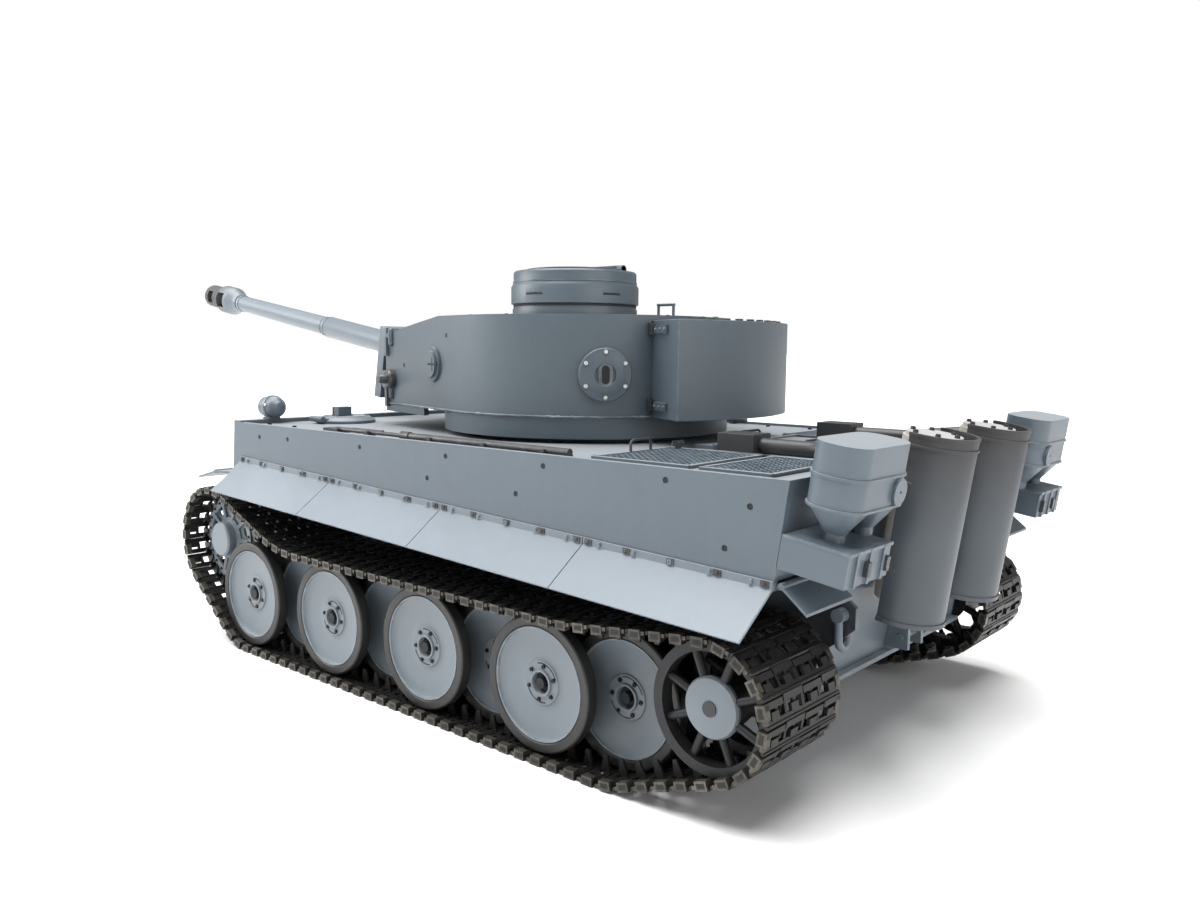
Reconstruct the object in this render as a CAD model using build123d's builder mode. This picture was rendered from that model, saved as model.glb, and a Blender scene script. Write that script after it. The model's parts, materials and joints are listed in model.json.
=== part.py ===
"""Radio-controlled 1:16 heavy tank: hull, running gear, turret, gun and the works inside.

Millimetres. +X is forward, +Y is left and +Z is up. The origin is on the ground, on the centre
line, midway between the first and the last axle.
"""
from build123d import *
from math import asin, atan2, cos, degrees, hypot, pi, radians, sin, sqrt, tan
import os

os.makedirs("parts", exist_ok=True)

# ---- Driving dimensions -------------------------------------------------------------------

# clearances
fit = 0.05             # between pieces that are seated on each other
running = 0.3          # between pieces that move past each other
pin_fit = 0.06         # round a hinge pin or a shaft, on the radius

# tracks
track_y = 88.2         # middle of a track from the centre line
track_w = 45.3
link_pitch = 8.125     # nominal: the real pitch closes the loop
plate_half = 0.9       # half the thickness of a link
link_gap = 0.45
horn_y = 11.6          # guide horns from the middle of the track
horn_t = 1.0
horn_h = 5.4
horn_len = 4.0

# running gear
axle_count = 8
axle_pitch = 32.19
wheel_r = 25.0
tyre_h = 2.6           # rubber on the rim
tyre_w = 5.4
row_outer = 15.2       # wheel rows from the middle of the track
row_inner = 6.2
hub_r = 5.2
axle_r = 2.0
arm_len = 17.0
arm_t = 4.6
sprocket_x = 142.5
sprocket_z = 50.0
sprocket_r = 25.0      # to the tooth tips
sprocket_teeth = 20
tooth_h = 2.4
ring_y = 9.95         # toothed rings from the middle of the track
ring_t = 1.3
idler_x = -155.0
idler_z = 37.0
idler_r = 21.5
run_r = 80.0           # bend of the top run where it leaves the wheels
rest_front_x = 66.0    # the top run lies on the wheels between these
rest_rear_x = -92.0

# hull
tub_half = 60.0        # lower hull, half its width
tub_wall = 2.0
belly_z = 29.0
hull_half = 98.06      # upper hull, half its width
deck_z = 109.2         # top edge of the side plates
roof_drop = 1.2        # the roof lies this far below that edge
plate_t = 2.5
front_x = 131.4        # front edge of the side plates
front_t = 6.2
front_lean = 5.0
rear_x = -176.3        # rear edge of the side plates, at the deck
rear_lean = 8.26
side_front_z = 92.4    # lower edge of the side plates at the front ...
side_rear_z = 78.2     # ... and at the rear
glacis_z = 84.0
nose_top = (164.0, 77.0)
nose_low = (150.0, 47.0)
nose_belly_x = 111.0

# skirts
skirt_count = 4
skirt_t = 0.9
skirt_y = 115.7        # outer lower edge
skirt_drop = 12.6      # from the bend to the lower edge
flange_h = 2.4
skirt_front_x = 131.6
skirt_rear_x = -172.0

# turret
turret_x = -9.5
turret_r = 67.0
ring_z = deck_z + 0.8           # underside of the base ring
turret_low = ring_z + 9.0       # lower edge of the wall
turret_top = turret_low + 42.0
turret_wall = 2.5
cheek_x = 85.0         # front corners
cheek_y = 45.0
roof_bend_x = 27.0
roof_front_z = turret_top - 7.5
ring_front_x = 42.0
spigot_r = 55.0
gun_slot_half = 33.0
gun_slot_low = turret_low + 2.5
gun_slot_top = turret_top - 11.0

# stowage bin
bin_r = 93.2           # outer arc about the turret axis
bin_half = 41.0
bin_inner_half = 28.0
bin_low = turret_low
bin_top = turret_top - 2.2

# cupola
cupola_x = -30.0
cupola_y = 31.0
cupola_r = 27.5
cupola_z = turret_top + 18.5

# gun
trunnion_x = 72.0
trunnion_z = turret_low + 18.7
trunnion_r = 5.0
gun_tilt = 9.3         # how far the barrel points up at rest
mantlet_half = 42.0
mantlet_top = 16.0     # above and below the bore
mantlet_low = -20.0
mantlet_back = 19.0    # rear face, ahead of the trunnion
mantlet_t = 5.0
collar_len = 62.0      # trunnion to the end of the flared collar
sleeve_end = 129.0     # trunnion to the barrel's step
muzzle_start = 231.0
muzzle_end = 268.5
barrel_r = 5.5
sleeve_r = 6.25
tip_r = 5.05
brake_r = 9.1
bore_r = 2.75
recoil_travel = 12.0

# rear fittings, on the leaning rear plate
shield_y = 25.7
shield_r = 14.0
shield_depth = 12.3
shield_top = 13.0
shield_low = -52.7
shield_t = 0.8
muffler_r = 10.2
filter_y0 = 62.0
filter_y1 = 98.8
filter_d0 = 3.8
filter_d1 = 21.5
filter_low = -5.6
filter_top = 13.7
box_y0 = 70.5
box_y1 = 98.0

# hatches and lamp
hatch_x = 111.8        # ahead of the mantlet, so that the lids open past it
hatch_y = 50.5
hatch_r = 15.0
loader_x0 = -6.0       # loader's hatch opening in the turret roof
loader_x1 = 18.0
loader_y0 = -42.0
loader_y1 = -20.0
lamp = (132.5, 79.6, deck_z + 6.8)
lamp_r = 5.5

# ---- Sizes that follow --------------------------------------------------------------------

roof_z = deck_z - roof_drop
tan_rear = tan(radians(rear_lean))
tan_front = tan(radians(front_lean))
side_slope = (side_front_z - side_rear_z) / (front_x - rear_x)
rear_plate = Plane(
    origin=(rear_x, 0, deck_z),
    x_dir=(0, 1, 0),
    z_dir=(-cos(radians(rear_lean)), 0, -sin(radians(rear_lean))),
)


def rear_edge(z):
    """X of the rear plate's outer face at a height."""
    return rear_x + (deck_z - z) * tan_rear


def side_low(x):
    """Height of the side plates' lower edge at a place along the hull."""
    return side_rear_z + side_slope * (x - rear_x)


def block(x0, x1, y0, y1, z0, z1, mode=Mode.ADD):
    """A box between its limits."""
    with Locations(((x0 + x1) / 2, (y0 + y1) / 2, (z0 + z1) / 2)):
        Box(x1 - x0, y1 - y0, z1 - z0, mode=mode)


def rod(start, end, radius, mode=Mode.ADD):
    """A round bar between two points."""
    run = Vector(end) - Vector(start)
    with Locations(Plane(origin=start, z_dir=run)):
        Cylinder(radius, run.length, align=(Align.CENTER, Align.CENTER, Align.MIN), mode=mode)


def turned(centre, profile, direction=(0, 1, 0), mode=Mode.ADD):
    """A turned piece: (radius, distance along the axis) points about an axis through centre."""
    along = Vector(direction)
    across = Vector(0, 0, 1) if abs(along.Z) < 0.7 else Vector(1, 0, 0)
    face = Plane(origin=centre, x_dir=across - along * across.dot(along), z_dir=across.cross(along))
    with BuildSketch(face) as half_section:
        with BuildLine():
            Polyline(*profile, close=True)
        make_face()
    revolve(half_section.sketch, axis=Axis(centre, direction), mode=mode)


def wall_profile(points, y0, y1, mode=Mode.ADD):
    """A plate outline in X and Z, as thick as from y0 to y1."""
    with BuildSketch(Plane.XZ.offset(-y0)) as outline:
        with BuildLine():
            Polyline(*points, close=True)
        make_face()
    extrude(outline.sketch, amount=-(y1 - y0), mode=mode)


def write_node(part, label):
    """Name a finished piece and write it."""
    part.label = label
    export_step(part, f"parts/{label}.step")


def write_pair(part, left, right):
    """Write a piece of the left side and its twin of the right side."""
    with BuildPart() as twin:
        mirror(part, about=Plane.XZ, mode=Mode.ADD)
    write_node(part, left)
    write_node(twin.part, right)


# ---- Tracks ---------------------------------------------------------------------------------

link_sag = link_pitch ** 2 / (8 * wheel_r)          # a straight link cuts inside its arc
belt_gap = running / 2 + plate_half + link_sag
wheel_z = 2 * plate_half + running / 2 + link_sag + wheel_r
axles = [(axle_count - 1 - 2 * i) / 2 * axle_pitch for i in range(axle_count)]
rest_z = wheel_z + wheel_r + belt_gap               # middle of the links on top of the wheels
# centres and radii that the middle of the links follows, a negative radius bends it outwards
belt = [
    (axles[-1], wheel_z, wheel_r + belt_gap),
    (axles[0], wheel_z, wheel_r + belt_gap),
    (sprocket_x, sprocket_z, sprocket_r + belt_gap),
    (rest_front_x, rest_z + run_r, -run_r),
    (rest_rear_x, rest_z + run_r, -run_r),
    (idler_x, idler_z, idler_r + belt_gap),
]


def belt_runs():
    """The straight runs and arcs of the loop: (length, start x, start z, heading, curvature)."""
    tangents = []
    for (x0, z0, r0), (x1, z1, r1) in zip(belt, belt[1:] + belt[:1]):
        span = hypot(x1 - x0, z1 - z0)
        heading = atan2(z1 - z0, x1 - x0) - asin((r1 - r0) / span)
        left = (-sin(heading), cos(heading))
        start = (x0 - r0 * left[0], z0 - r0 * left[1])
        end = (x1 - r1 * left[0], z1 - r1 * left[1])
        tangents.append((start, end, heading))
    runs = []
    for here, after, roller in zip(tangents, tangents[1:] + tangents[:1], belt[1:] + belt[:1]):
        start, end, heading = here
        runs.append((hypot(end[0] - start[0], end[1] - start[1]), start, heading, 0.0))
        turn = after[2] - heading
        turn = (turn + pi) % (2 * pi) - pi
        if roller[2] > 0 and turn < 0:
            turn += 2 * pi
        runs.append((abs(turn) * abs(roller[2]), end, heading, 1 / roller[2]))
    return runs


runs = belt_runs()
loop_length = sum(run[0] for run in runs)
link_count = round(loop_length / link_pitch)
pitch = loop_length / link_count


def loop_point(distance):
    """A point of the loop (x, z)."""
    distance %= loop_length
    for length, start, heading, curvature in runs:
        if distance <= length:
            break
        distance -= length
    if curvature == 0:
        return start[0] + distance * cos(heading), start[1] + distance * sin(heading)
    turn = distance * curvature
    return (
        start[0] + (sin(heading + turn) - sin(heading)) / curvature,
        start[1] - (cos(heading + turn) - cos(heading)) / curvature,
    )


def link_plane(index):
    """Where a link lies: X along the track, Z towards the wheels."""
    ax, az = loop_point(index * pitch)
    bx, bz = loop_point((index + 1) * pitch)
    return Plane(
        origin=((ax + bx) / 2, track_y, (az + bz) / 2),
        x_dir=(bx - ax, 0, bz - az),
        z_dir=(-(bz - az), 0, bx - ax),
    )


link_len = link_pitch - link_gap
with BuildPart() as link:
    bar_t = plate_half * 0.66
    block(-link_len / 2, link_len / 2, -track_w / 2, track_w / 2, bar_t - plate_half, plate_half)
    block(-link_len / 5, link_len / 5, -track_w / 2, track_w / 2, -plate_half, bar_t - plate_half)
    for side in (-1, 1):
        wall_profile([
            (-horn_len / 2, plate_half - 0.1), (horn_len / 2, plate_half - 0.1),
            (horn_len / 5, plate_half + horn_h), (-horn_len / 5, plate_half + horn_h),
        ], side * horn_y - horn_t / 2, side * horn_y + horn_t / 2)

with BuildPart() as left_track:
    with Locations(*[link_plane(index) for index in range(link_count)]):
        add(link.part)
write_pair(left_track.part, "left_track", "right_track")

# ---- Wheels ---------------------------------------------------------------------------------

rim_r = wheel_r - tyre_h
web_t = 1.6


def wheel_disc(x, y, z, outward):
    """A dished disc with its rim, on an axle along Y, the dish open on the outward side."""
    half = tyre_w / 2
    s = outward
    turned((x, y, z), [
        (axle_r + pin_fit, -s * half), (hub_r, -s * half), (hub_r, -s * (half - 1.2)),
        (rim_r * 0.80, s * (half - 2.9)), (rim_r - 1.6, s * (half - 2.9)),
        (rim_r - 1.6, -s * half), (rim_r, -s * half), (rim_r, s * half),
        (rim_r * 0.85, s * half), (rim_r * 0.80, s * (half - 1.2)),
        (hub_r + 2.4, -s * (half - 2.6)), (hub_r, s * 0.8), (axle_r + 1.2, s * 0.8),
        (axle_r + 1.2, -s * 0.8), (axle_r + pin_fit, -s * 0.8),
    ])


def tyre(x, y, z):
    """A rubber tyre with rounded edges, seated on its rim."""
    half = tyre_w / 2
    turned((x, y, z), [
        (rim_r + fit, -half + 0.2), (wheel_r - 0.5, -half + 0.2), (wheel_r, -half + 0.9),
        (wheel_r, half - 0.9), (wheel_r - 0.5, half - 0.2), (rim_r + fit, half - 0.2),
    ])


def hub_tube(x, z, y0, y1):
    """The tube between the two discs of a station, running on the axle."""
    turned((x, 0, z), [(axle_r + pin_fit, y0), (hub_r - 0.6, y0), (hub_r - 0.6, y1), (axle_r + pin_fit, y1)])


axle_ends = []
for number, x in enumerate(axles, start=1):
    outer_row = number % 2 == 1
    y_out = track_y + (row_outer if outer_row else row_inner)
    y_in = track_y - (row_inner if outer_row else row_outer)
    axle_ends.append(y_out)
    with BuildPart() as station:
        wheel_disc(x, y_out, wheel_z, 1)
        wheel_disc(x, y_in, wheel_z, -1)
        tyre(x, y_out, wheel_z)
        tyre(x, y_in, wheel_z)
        hub_tube(x, wheel_z, y_in + tyre_w / 2 + fit, y_out - tyre_w / 2 - fit)
    write_pair(station.part, f"left_wheel_{number}", f"right_wheel_{number}")

# ---- Swing arms -----------------------------------------------------------------------------

arm_y0 = tub_half + running
arm_y1 = arm_y0 + arm_t
pivot_dx = arm_len * cos(radians(28))
pivot_dz = arm_len * sin(radians(28))
pivot_r = 3.0
with BuildPart() as left_arms:
    for x, y_out in zip(axles, axle_ends):
        pivot = (x + pivot_dx, wheel_z + pivot_dz)
        with BuildSketch(Plane.XZ.offset(-arm_y0)):
            with Locations((x, wheel_z), pivot):
                Circle(4.4)
            make_hull()
        extrude(amount=-arm_t)
        rod((x, arm_y0, wheel_z), (x, y_out + 0.6, wheel_z), axle_r)
        rod((pivot[0], tub_half - tub_wall - 5, pivot[1]), (pivot[0], arm_y1, pivot[1]), pivot_r)
with BuildPart() as swing_arms:
    add(left_arms.part)
    mirror(left_arms.part, about=Plane.XZ)
write_node(swing_arms.part, "swing_arms")

# ---- Sprockets and idlers -------------------------------------------------------------------

drive_shaft_r = 3.0
shaft_in_y = 44.0


def toothed_ring(y):
    """One toothed ring of a sprocket with its windows, square to the shaft."""
    root_r = sprocket_r - tooth_h
    half_tip = pitch * 0.16
    half_root = pitch * 0.30
    face = Plane(origin=(sprocket_x, y - ring_t / 2, sprocket_z), x_dir=(1, 0, 0), z_dir=(0, -1, 0))
    with BuildSketch(face) as ring_face:
        Circle(root_r)
        with PolarLocations(0, sprocket_teeth):
            Polygon(
                (root_r - 0.6, -half_root), (sprocket_r, -half_tip),
                (sprocket_r, half_tip), (root_r - 0.6, half_root), align=None,
            )
        with PolarLocations(root_r * 0.70, 10, start_angle=18):
            Circle(2.6, mode=Mode.SUBTRACT)
    extrude(ring_face.sketch, amount=-ring_t)


drum_r = 10.8
drum_y0 = -ring_y - 3.4
drum_y1 = ring_y + 7.0
with BuildPart() as left_sprocket:
    for offset in (-ring_y, ring_y):
        toothed_ring(track_y + offset)
    turned((sprocket_x, track_y, sprocket_z), [
        (0, drum_y0), (drum_r - 3, drum_y0), (drum_r, -ring_y), (drum_r, ring_y + 1.6),
        (8.6, ring_y + 2.6), (8.6, drum_y1 - 0.8), (7.8, drum_y1), (0, drum_y1),
    ])
    rod((sprocket_x, shaft_in_y, sprocket_z), (sprocket_x, track_y, sprocket_z), drive_shaft_r)
write_pair(left_sprocket.part, "left_sprocket", "right_sprocket")

idler_axle_r = 2.5
idler_cap_y = row_outer + 2.0
with BuildPart() as left_idler:
    for offset in (-row_inner, row_outer):
        turned((idler_x, track_y + offset, idler_z), [
            (idler_r - 3.4, -tyre_w / 2), (idler_r, -tyre_w / 2),
            (idler_r, tyre_w / 2), (idler_r - 3.4, tyre_w / 2),
        ])
        for spoke in range(8):
            angle = radians(45 * spoke + 22.5)
            inner_r, outer_r = 7.0, idler_r - 2.0
            rod(
                (idler_x + inner_r * cos(angle), track_y + offset, idler_z + inner_r * sin(angle)),
                (idler_x + outer_r * cos(angle), track_y + offset, idler_z + outer_r * sin(angle)),
                1.5,
            )
    turned((idler_x, track_y, idler_z), [
        (idler_axle_r + pin_fit, -row_inner - 3), (9.6, -row_inner - 3), (7.4, 0),
        (9.8, row_outer - 1.0), (9.2, idler_cap_y), (idler_axle_r + pin_fit, idler_cap_y),
    ])
write_pair(left_idler.part, "left_idler", "right_idler")

# ---- Lower hull -----------------------------------------------------------------------------

ear_hole = (-175.4, 61.5)       # tow eye in the side plate's rear ear, x and z
ear_hole_r = 2.4
tub_rear_z = 34.0
tub_top = side_rear_z - 3.0


def tub_outline(inset):
    """The tub's side outline, open upwards, smaller by the inset."""
    rear_low = rear_edge(tub_rear_z) + inset
    return [
        (rear_low, tub_rear_z + inset), (rear_edge(belly_z) + 9 + inset, belly_z + inset),
        (nose_belly_x, belly_z + inset), (nose_low[0] - inset, nose_low[1] + inset * 0.4),
        (nose_top[0] - inset, nose_top[1] - inset), (front_x - inset, glacis_z - inset * 1.05),
        (rear_edge(glacis_z) + inset, glacis_z - inset * 1.05),
    ]


with BuildPart() as lower_hull:
    wall_profile(tub_outline(0), -tub_half, tub_half)
    wall_profile(tub_outline(tub_wall), -tub_half + tub_wall, tub_half - tub_wall, mode=Mode.SUBTRACT)
    # open top under the upper hull
    block(rear_edge(0) - 20, front_x - 8, -tub_half + tub_wall, tub_half - tub_wall, tub_top, glacis_z + 1,
          mode=Mode.SUBTRACT)
    block(rear_edge(0) - 30, front_x + 4, -tub_half - 1, tub_half + 1, tub_top, glacis_z + 6,
          mode=Mode.SUBTRACT)
    for side in (-1, 1):
        y0 = side * tub_half if side < 0 else tub_half - tub_wall
        # the side plates run on behind the rear plate as tow ears
        wall_profile([
            (rear_edge(50) + 3, 44.0), (rear_edge(50) - 4, 50.0), (ear_hole[0] - 4.6, 57.0),
            (ear_hole[0] - 4.6, 64.0), (ear_hole[0] - 1.0, 67.0), (rear_edge(68) + 3, 67.0),
        ], y0, y0 + tub_wall)
        # final drive housing round the shaft
        inner = side * (tub_half - tub_wall)
        outer = side * (track_y + drum_y0 - running)
        rod((sprocket_x, inner, sprocket_z), (sprocket_x, outer, sprocket_z), 13.0)
        rod((idler_x, inner, idler_z), (idler_x, side * (track_y - row_inner - 3 - running), idler_z), 6.0)
        rod((sprocket_x, side * 40, sprocket_z), (sprocket_x, side * 80, sprocket_z),
            drive_shaft_r + pin_fit, mode=Mode.SUBTRACT)
        rod((ear_hole[0], side * 50, ear_hole[1]), (ear_hole[0], side * 70, ear_hole[1]), ear_hole_r,
            mode=Mode.SUBTRACT)
        rod((idler_x, side * 70, idler_z), (idler_x, side * (track_y + idler_cap_y + 0.8), idler_z),
            idler_axle_r)
        for x in axles:
            rod((x + pivot_dx, side * 50, wheel_z + pivot_dz), (x + pivot_dx, side * 64, wheel_z + pivot_dz),
                pivot_r + fit, mode=Mode.SUBTRACT)
    # lower rear flange and tow hitch
    block(rear_edge(tub_rear_z) - 3.0, rear_edge(tub_rear_z) + 1.5, -tub_half, tub_half, tub_rear_z,
          tub_rear_z + 1.6)
    for y in (-6, 6):
        block(rear_edge(40) - 9, rear_edge(40) + 1, y - 1, y + 1, 37, 46)
    rod((rear_edge(40) - 6, -8, 41.5), (rear_edge(40) - 6, 8, 41.5), 1.3)
    # switch slot in the belly
    block(-22, -8, 24, 30, belly_z - 1, belly_z + tub_wall + 1, mode=Mode.SUBTRACT)
write_node(lower_hull.part, "lower_hull")

# ---- Upper hull -----------------------------------------------------------------------------

mudguard_top = 83.4
mudguard_x = 158.0
mudguard_t = 1.0
sponson_t = 1.6
hull_inner = hull_half - plate_t
visor_y = 42.0
visor_z = deck_z - 12.2
bow_gun_y = -42.0
bow_gun_z = deck_z - 12.2
ball_r = 6.6
ball_gap = 0.4
ball_pin_r = 1.2
deck_well = (-166.0, -88.0, hull_inner - 1.56)   # grille well in the rear deck: from x, to x, half its width
side_screws = [(114.4, 103.0), (89.9, 103.5), (33.7, 103.9), (-22.7, 104.4), (-11.3, 94.7),
               (-76.0, 105.0), (-62.0, 93.5), (-130.9, 105.1), (-162.9, 100.0), (-154.1, 86.0)]
side_hole_r = 1.1


def front_face(z):
    """X of the side plates' front edge at a height: the front plate leans."""
    return front_x + (deck_z - z) * tan_front


ball_x = front_face(bow_gun_z) + front_t - 2.0
with BuildPart() as upper_hull:
    side_profile = [
        (front_face(deck_z), deck_z), (rear_edge(deck_z), deck_z),
        (rear_edge(side_rear_z - 3), side_rear_z - 3), (front_face(side_front_z - 3), side_front_z - 3),
    ]
    for side in (-1, 1):
        y0 = -hull_half if side < 0 else hull_inner
        wall_profile(side_profile, y0, y0 + plate_t)
        # sponson floor over the track
        floor_y = (-hull_inner, -tub_half) if side < 0 else (tub_half, hull_inner)
        wall_profile([
            (rear_edge(side_rear_z), side_rear_z - 3), (front_face(side_front_z), side_front_z - 3),
            (front_face(side_front_z), side_front_z - 3 + sponson_t),
            (rear_edge(side_rear_z), side_rear_z - 3 + sponson_t),
        ], floor_y[0] - 0.5, floor_y[1] + 0.5)
        # sponson's inner wall down on the tub
        wall_y = -tub_half if side < 0 else tub_half - tub_wall
        wall_profile([
            (rear_edge(tub_top), tub_top + fit), (front_x - 2, tub_top + fit),
            (front_x - 2, side_front_z), (rear_edge(side_rear_z), side_rear_z),
        ], wall_y, wall_y + tub_wall)
        # fixed front mudguard
        guard_y = (-hull_half, -tub_half) if side < 0 else (tub_half, hull_half)
        wall_profile([
            (front_face(mudguard_top) + 0.4, mudguard_top + 1.0), (mudguard_x, mudguard_top - 0.6),
            (mudguard_x, mudguard_top - 0.6 - mudguard_t), (front_face(mudguard_top) + 0.4, mudguard_top),
        ], *guard_y)
    # roof, front plate, rear plate
    block(rear_edge(roof_z) + 1.5, front_x + 1, -hull_inner - 0.5, hull_inner + 0.5, roof_z - plate_t, roof_z)
    wall_profile([
        (front_face(deck_z), deck_z + 0.8), (front_face(glacis_z), glacis_z - 0.4),
        (front_face(glacis_z) + front_t, glacis_z - 0.4), (front_face(deck_z) + front_t, deck_z + 0.8),
    ], -hull_half, hull_half)
    wall_profile([
        (rear_edge(deck_z), deck_z), (rear_edge(side_rear_z), side_rear_z),
        (rear_edge(side_rear_z) + 2, side_rear_z), (rear_edge(deck_z) + 2, deck_z),
    ], -hull_half, hull_half)
    wall_profile([
        (rear_edge(side_rear_z + 1), side_rear_z + 1), (rear_edge(tub_top + fit), tub_top + fit),
        (rear_edge(tub_top + fit) + 2, tub_top + fit), (rear_edge(side_rear_z + 1) + 2, side_rear_z + 1),
    ], -tub_half, tub_half)
    # glacis between the front plate and the nose
    wall_profile([
        (front_face(glacis_z) + 0.2, glacis_z + 1.2), (nose_top[0] - 1, nose_top[1] + 1.6),
        (nose_top[0] - 1, nose_top[1] + 0.4), (front_face(glacis_z) + 0.2, glacis_z - 0.1),
    ], -tub_half, tub_half)
    # openings
    with Locations((turret_x, 0, roof_z)):
        Cylinder(spigot_r + 0.6, 8, mode=Mode.SUBTRACT)
    for side in (-1, 1):
        with Locations((hatch_x, side * hatch_y, roof_z)):
            Cylinder(hatch_r - 2.0, 8, mode=Mode.SUBTRACT)
    rod((front_x - 8, bow_gun_y, bow_gun_z), (front_x + 12, bow_gun_y, bow_gun_z), ball_r + ball_gap,
        mode=Mode.SUBTRACT)
    # pin that the bow gun's ball swings on
    pin_reach = ball_r + ball_gap + 0.5
    rod((ball_x, bow_gun_y, bow_gun_z - pin_reach), (ball_x, bow_gun_y, bow_gun_z + pin_reach), ball_pin_r)
    block(deck_well[0], deck_well[1], -deck_well[2], deck_well[2], roof_z - 4, roof_z + 3, mode=Mode.SUBTRACT)
    for x, z in side_screws:
        rod((x, -hull_half - 1, z), (x, hull_half + 1, z), side_hole_r, mode=Mode.SUBTRACT)
write_node(upper_hull.part, "upper_hull")

# ---- Engine deck ----------------------------------------------------------------------------

deck_x0 = deck_well[0] + fit
deck_x1 = deck_well[1] - fit
deck_half = deck_well[2] - fit
with BuildPart() as engine_deck:
    block(deck_x0, deck_x1, -deck_half, deck_half, roof_z - plate_t, roof_z)
    for side in (-1, 1):
        # perforated grilles each side
        with Locations((-112, side * 66, roof_z)):
            with GridLocations(7.2, 5.0, 5, 8):
                Box(5.6, 1.6, 8, mode=Mode.SUBTRACT)
        with Locations((-151, side * 66, roof_z)):
            with GridLocations(7.2, 5.0, 3, 8):
                Box(5.6, 1.6, 8, mode=Mode.SUBTRACT)
    # raised engine cover
    block(-160, -94, -30, 30, roof_z - 0.5, roof_z + 1.6)
    for x in (-150, -127, -104):
        block(x - 1, x + 1, -31, 31, roof_z + 1.4, roof_z + 2.4)
write_node(engine_deck.part, "engine_deck")

# ---- Side skirts ----------------------------------------------------------------------------

skirt_step = (skirt_front_x - skirt_rear_x) / skirt_count
bolts_per_skirt = 5


def skirt_panel(x0, x1, first):
    """A skirt panel with its bolt flange. The first one is cut back at its lower front corner."""
    low = [
        (hull_half + fit, 0), (hull_half + fit + skirt_t, 0), (hull_half + fit + skirt_t, -flange_h),
        (skirt_y, -flange_h - skirt_drop), (skirt_y - 0.7, -flange_h - skirt_drop - 0.6),
        (hull_half + fit, -flange_h - 0.4),
    ]
    start = Plane(origin=(x0, 0, side_low(x0)), x_dir=(0, 1, 0), z_dir=(1, 0, side_slope))
    with BuildSketch(start) as section:
        with BuildLine():
            Polyline(*low, close=True)
        make_face()
    extrude(section.sketch, amount=(x1 - x0) * sqrt(1 + side_slope ** 2))
    if first:
        # the lower front corner is cut back from the flange
        with BuildSketch(Plane.XY.offset(60)) as cut:
            with BuildLine():
                Polyline((x1 + 2, hull_half + 0.5), (x1 + 2, skirt_y + 2), (x1 - 1.5, skirt_y + 2),
                         (x1 - 1.5, hull_half + 8), close=True)
            make_face()
        extrude(cut.sketch, amount=40, mode=Mode.SUBTRACT)


with BuildPart() as left_skirts:
    for index in range(skirt_count):
        far = skirt_rear_x + index * skirt_step
        skirt_panel(far + 0.2, far + skirt_step - 0.2, index == skirt_count - 1)
        for bolt in range(bolts_per_skirt):
            x = far + (bolt + 0.5) * skirt_step / bolts_per_skirt
            z = side_low(x) - flange_h / 2
            rod((x, hull_half + skirt_t, z), (x, hull_half + skirt_t + 0.9, z), 0.8)
with BuildPart() as side_skirts:
    add(left_skirts.part)
    mirror(left_skirts.part, about=Plane.XZ)
write_node(side_skirts.part, "side_skirts")

# ---- Rear fittings --------------------------------------------------------------------------

rear_up = Vector(-sin(radians(rear_lean)), 0, cos(radians(rear_lean)))


def rear_point(y, height, depth):
    """A point on the leaning rear plate: across, up along the plate, out from the plate."""
    return rear_plate.origin + Vector(0, y, 0) + rear_up * height + rear_plate.z_dir * depth


def rear_level(height):
    """A plane square to the rear plate's slope at a height, X across, Y out from the plate."""
    return Plane(origin=rear_point(0, height, 0), x_dir=(0, 1, 0), z_dir=rear_up)


def shell_arc(centre_y, radius, height, amount, thickness):
    """A curved sheet open towards the hull, standing on a level of the rear plate."""
    level = rear_level(height)
    out_sign = 1 if level.y_dir.dot(rear_plate.z_dir) > 0 else -1
    with BuildSketch(level) as sheet:
        with Locations((centre_y, out_sign * shield_depth)):
            Circle(radius)
            Circle(radius - thickness, mode=Mode.SUBTRACT)
            with Locations((0, -out_sign * (radius + radius * 0.26))):
                Rectangle(radius * 3, radius * 2, mode=Mode.SUBTRACT)
    extrude(sheet.sketch, amount=amount)


with BuildPart() as exhaust_shields:
    for side in (-1, 1):
        y = side * shield_y
        shell_arc(y, shield_r, shield_low, shield_top - shield_low, shield_t)
        shell_arc(y, shield_r + 0.5, shield_low, 1.6, shield_t + 0.6)
        shell_arc(y, shield_r + 0.5, shield_top - 4.6, 0.9, shield_t + 0.6)
        shell_arc(y, shield_r + 0.3, shield_top - 1.0, 1.0, shield_t + 0.4)
        # two bolted straps to the rear plate
        for height in (-34, -4):
            for edge in (-1, 1):
                rod(rear_point(y + edge * (shield_r - 0.7), height, fit),
                    rear_point(y + edge * (shield_r - 0.7), height, shield_depth), 0.9)
write_node(exhaust_shields.part, "exhaust_shields")

muffler_low = shield_low + 6
muffler_top = shield_top - 2.2
with BuildPart() as mufflers:
    for side in (-1, 1):
        y = side * shield_y
        top = rear_point(y, muffler_top, shield_depth - 0.6)
        rod(rear_point(y, muffler_low, shield_depth - 0.6), top, muffler_r)
        rod(top, top + rear_up * 1.4, muffler_r - 0.8)
        rod(rear_point(y, muffler_low + 8, fit), rear_point(y, muffler_low + 8, shield_depth - 2), 5.0)
        for bolt in range(6):
            angle = radians(60 * bolt + 30)
            reach = muffler_r - 2.4
            foot = top + Vector(0, 1, 0) * reach * cos(angle) + rear_plate.z_dir * reach * sin(angle)
            rod(foot + rear_up * 1.2, foot + rear_up * 2.0, 0.8)
write_node(mufflers.part, "mufflers")

filter_mid = (filter_y0 + filter_y1) / 2
filter_depth_mid = (filter_d0 + filter_d1) / 2
filter_w = filter_y1 - filter_y0
filter_deep = filter_d1 - filter_d0
box_low = -27.0
box_top = -16.3
box_deep = 22.3
funnel_low = box_top + fit


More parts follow.
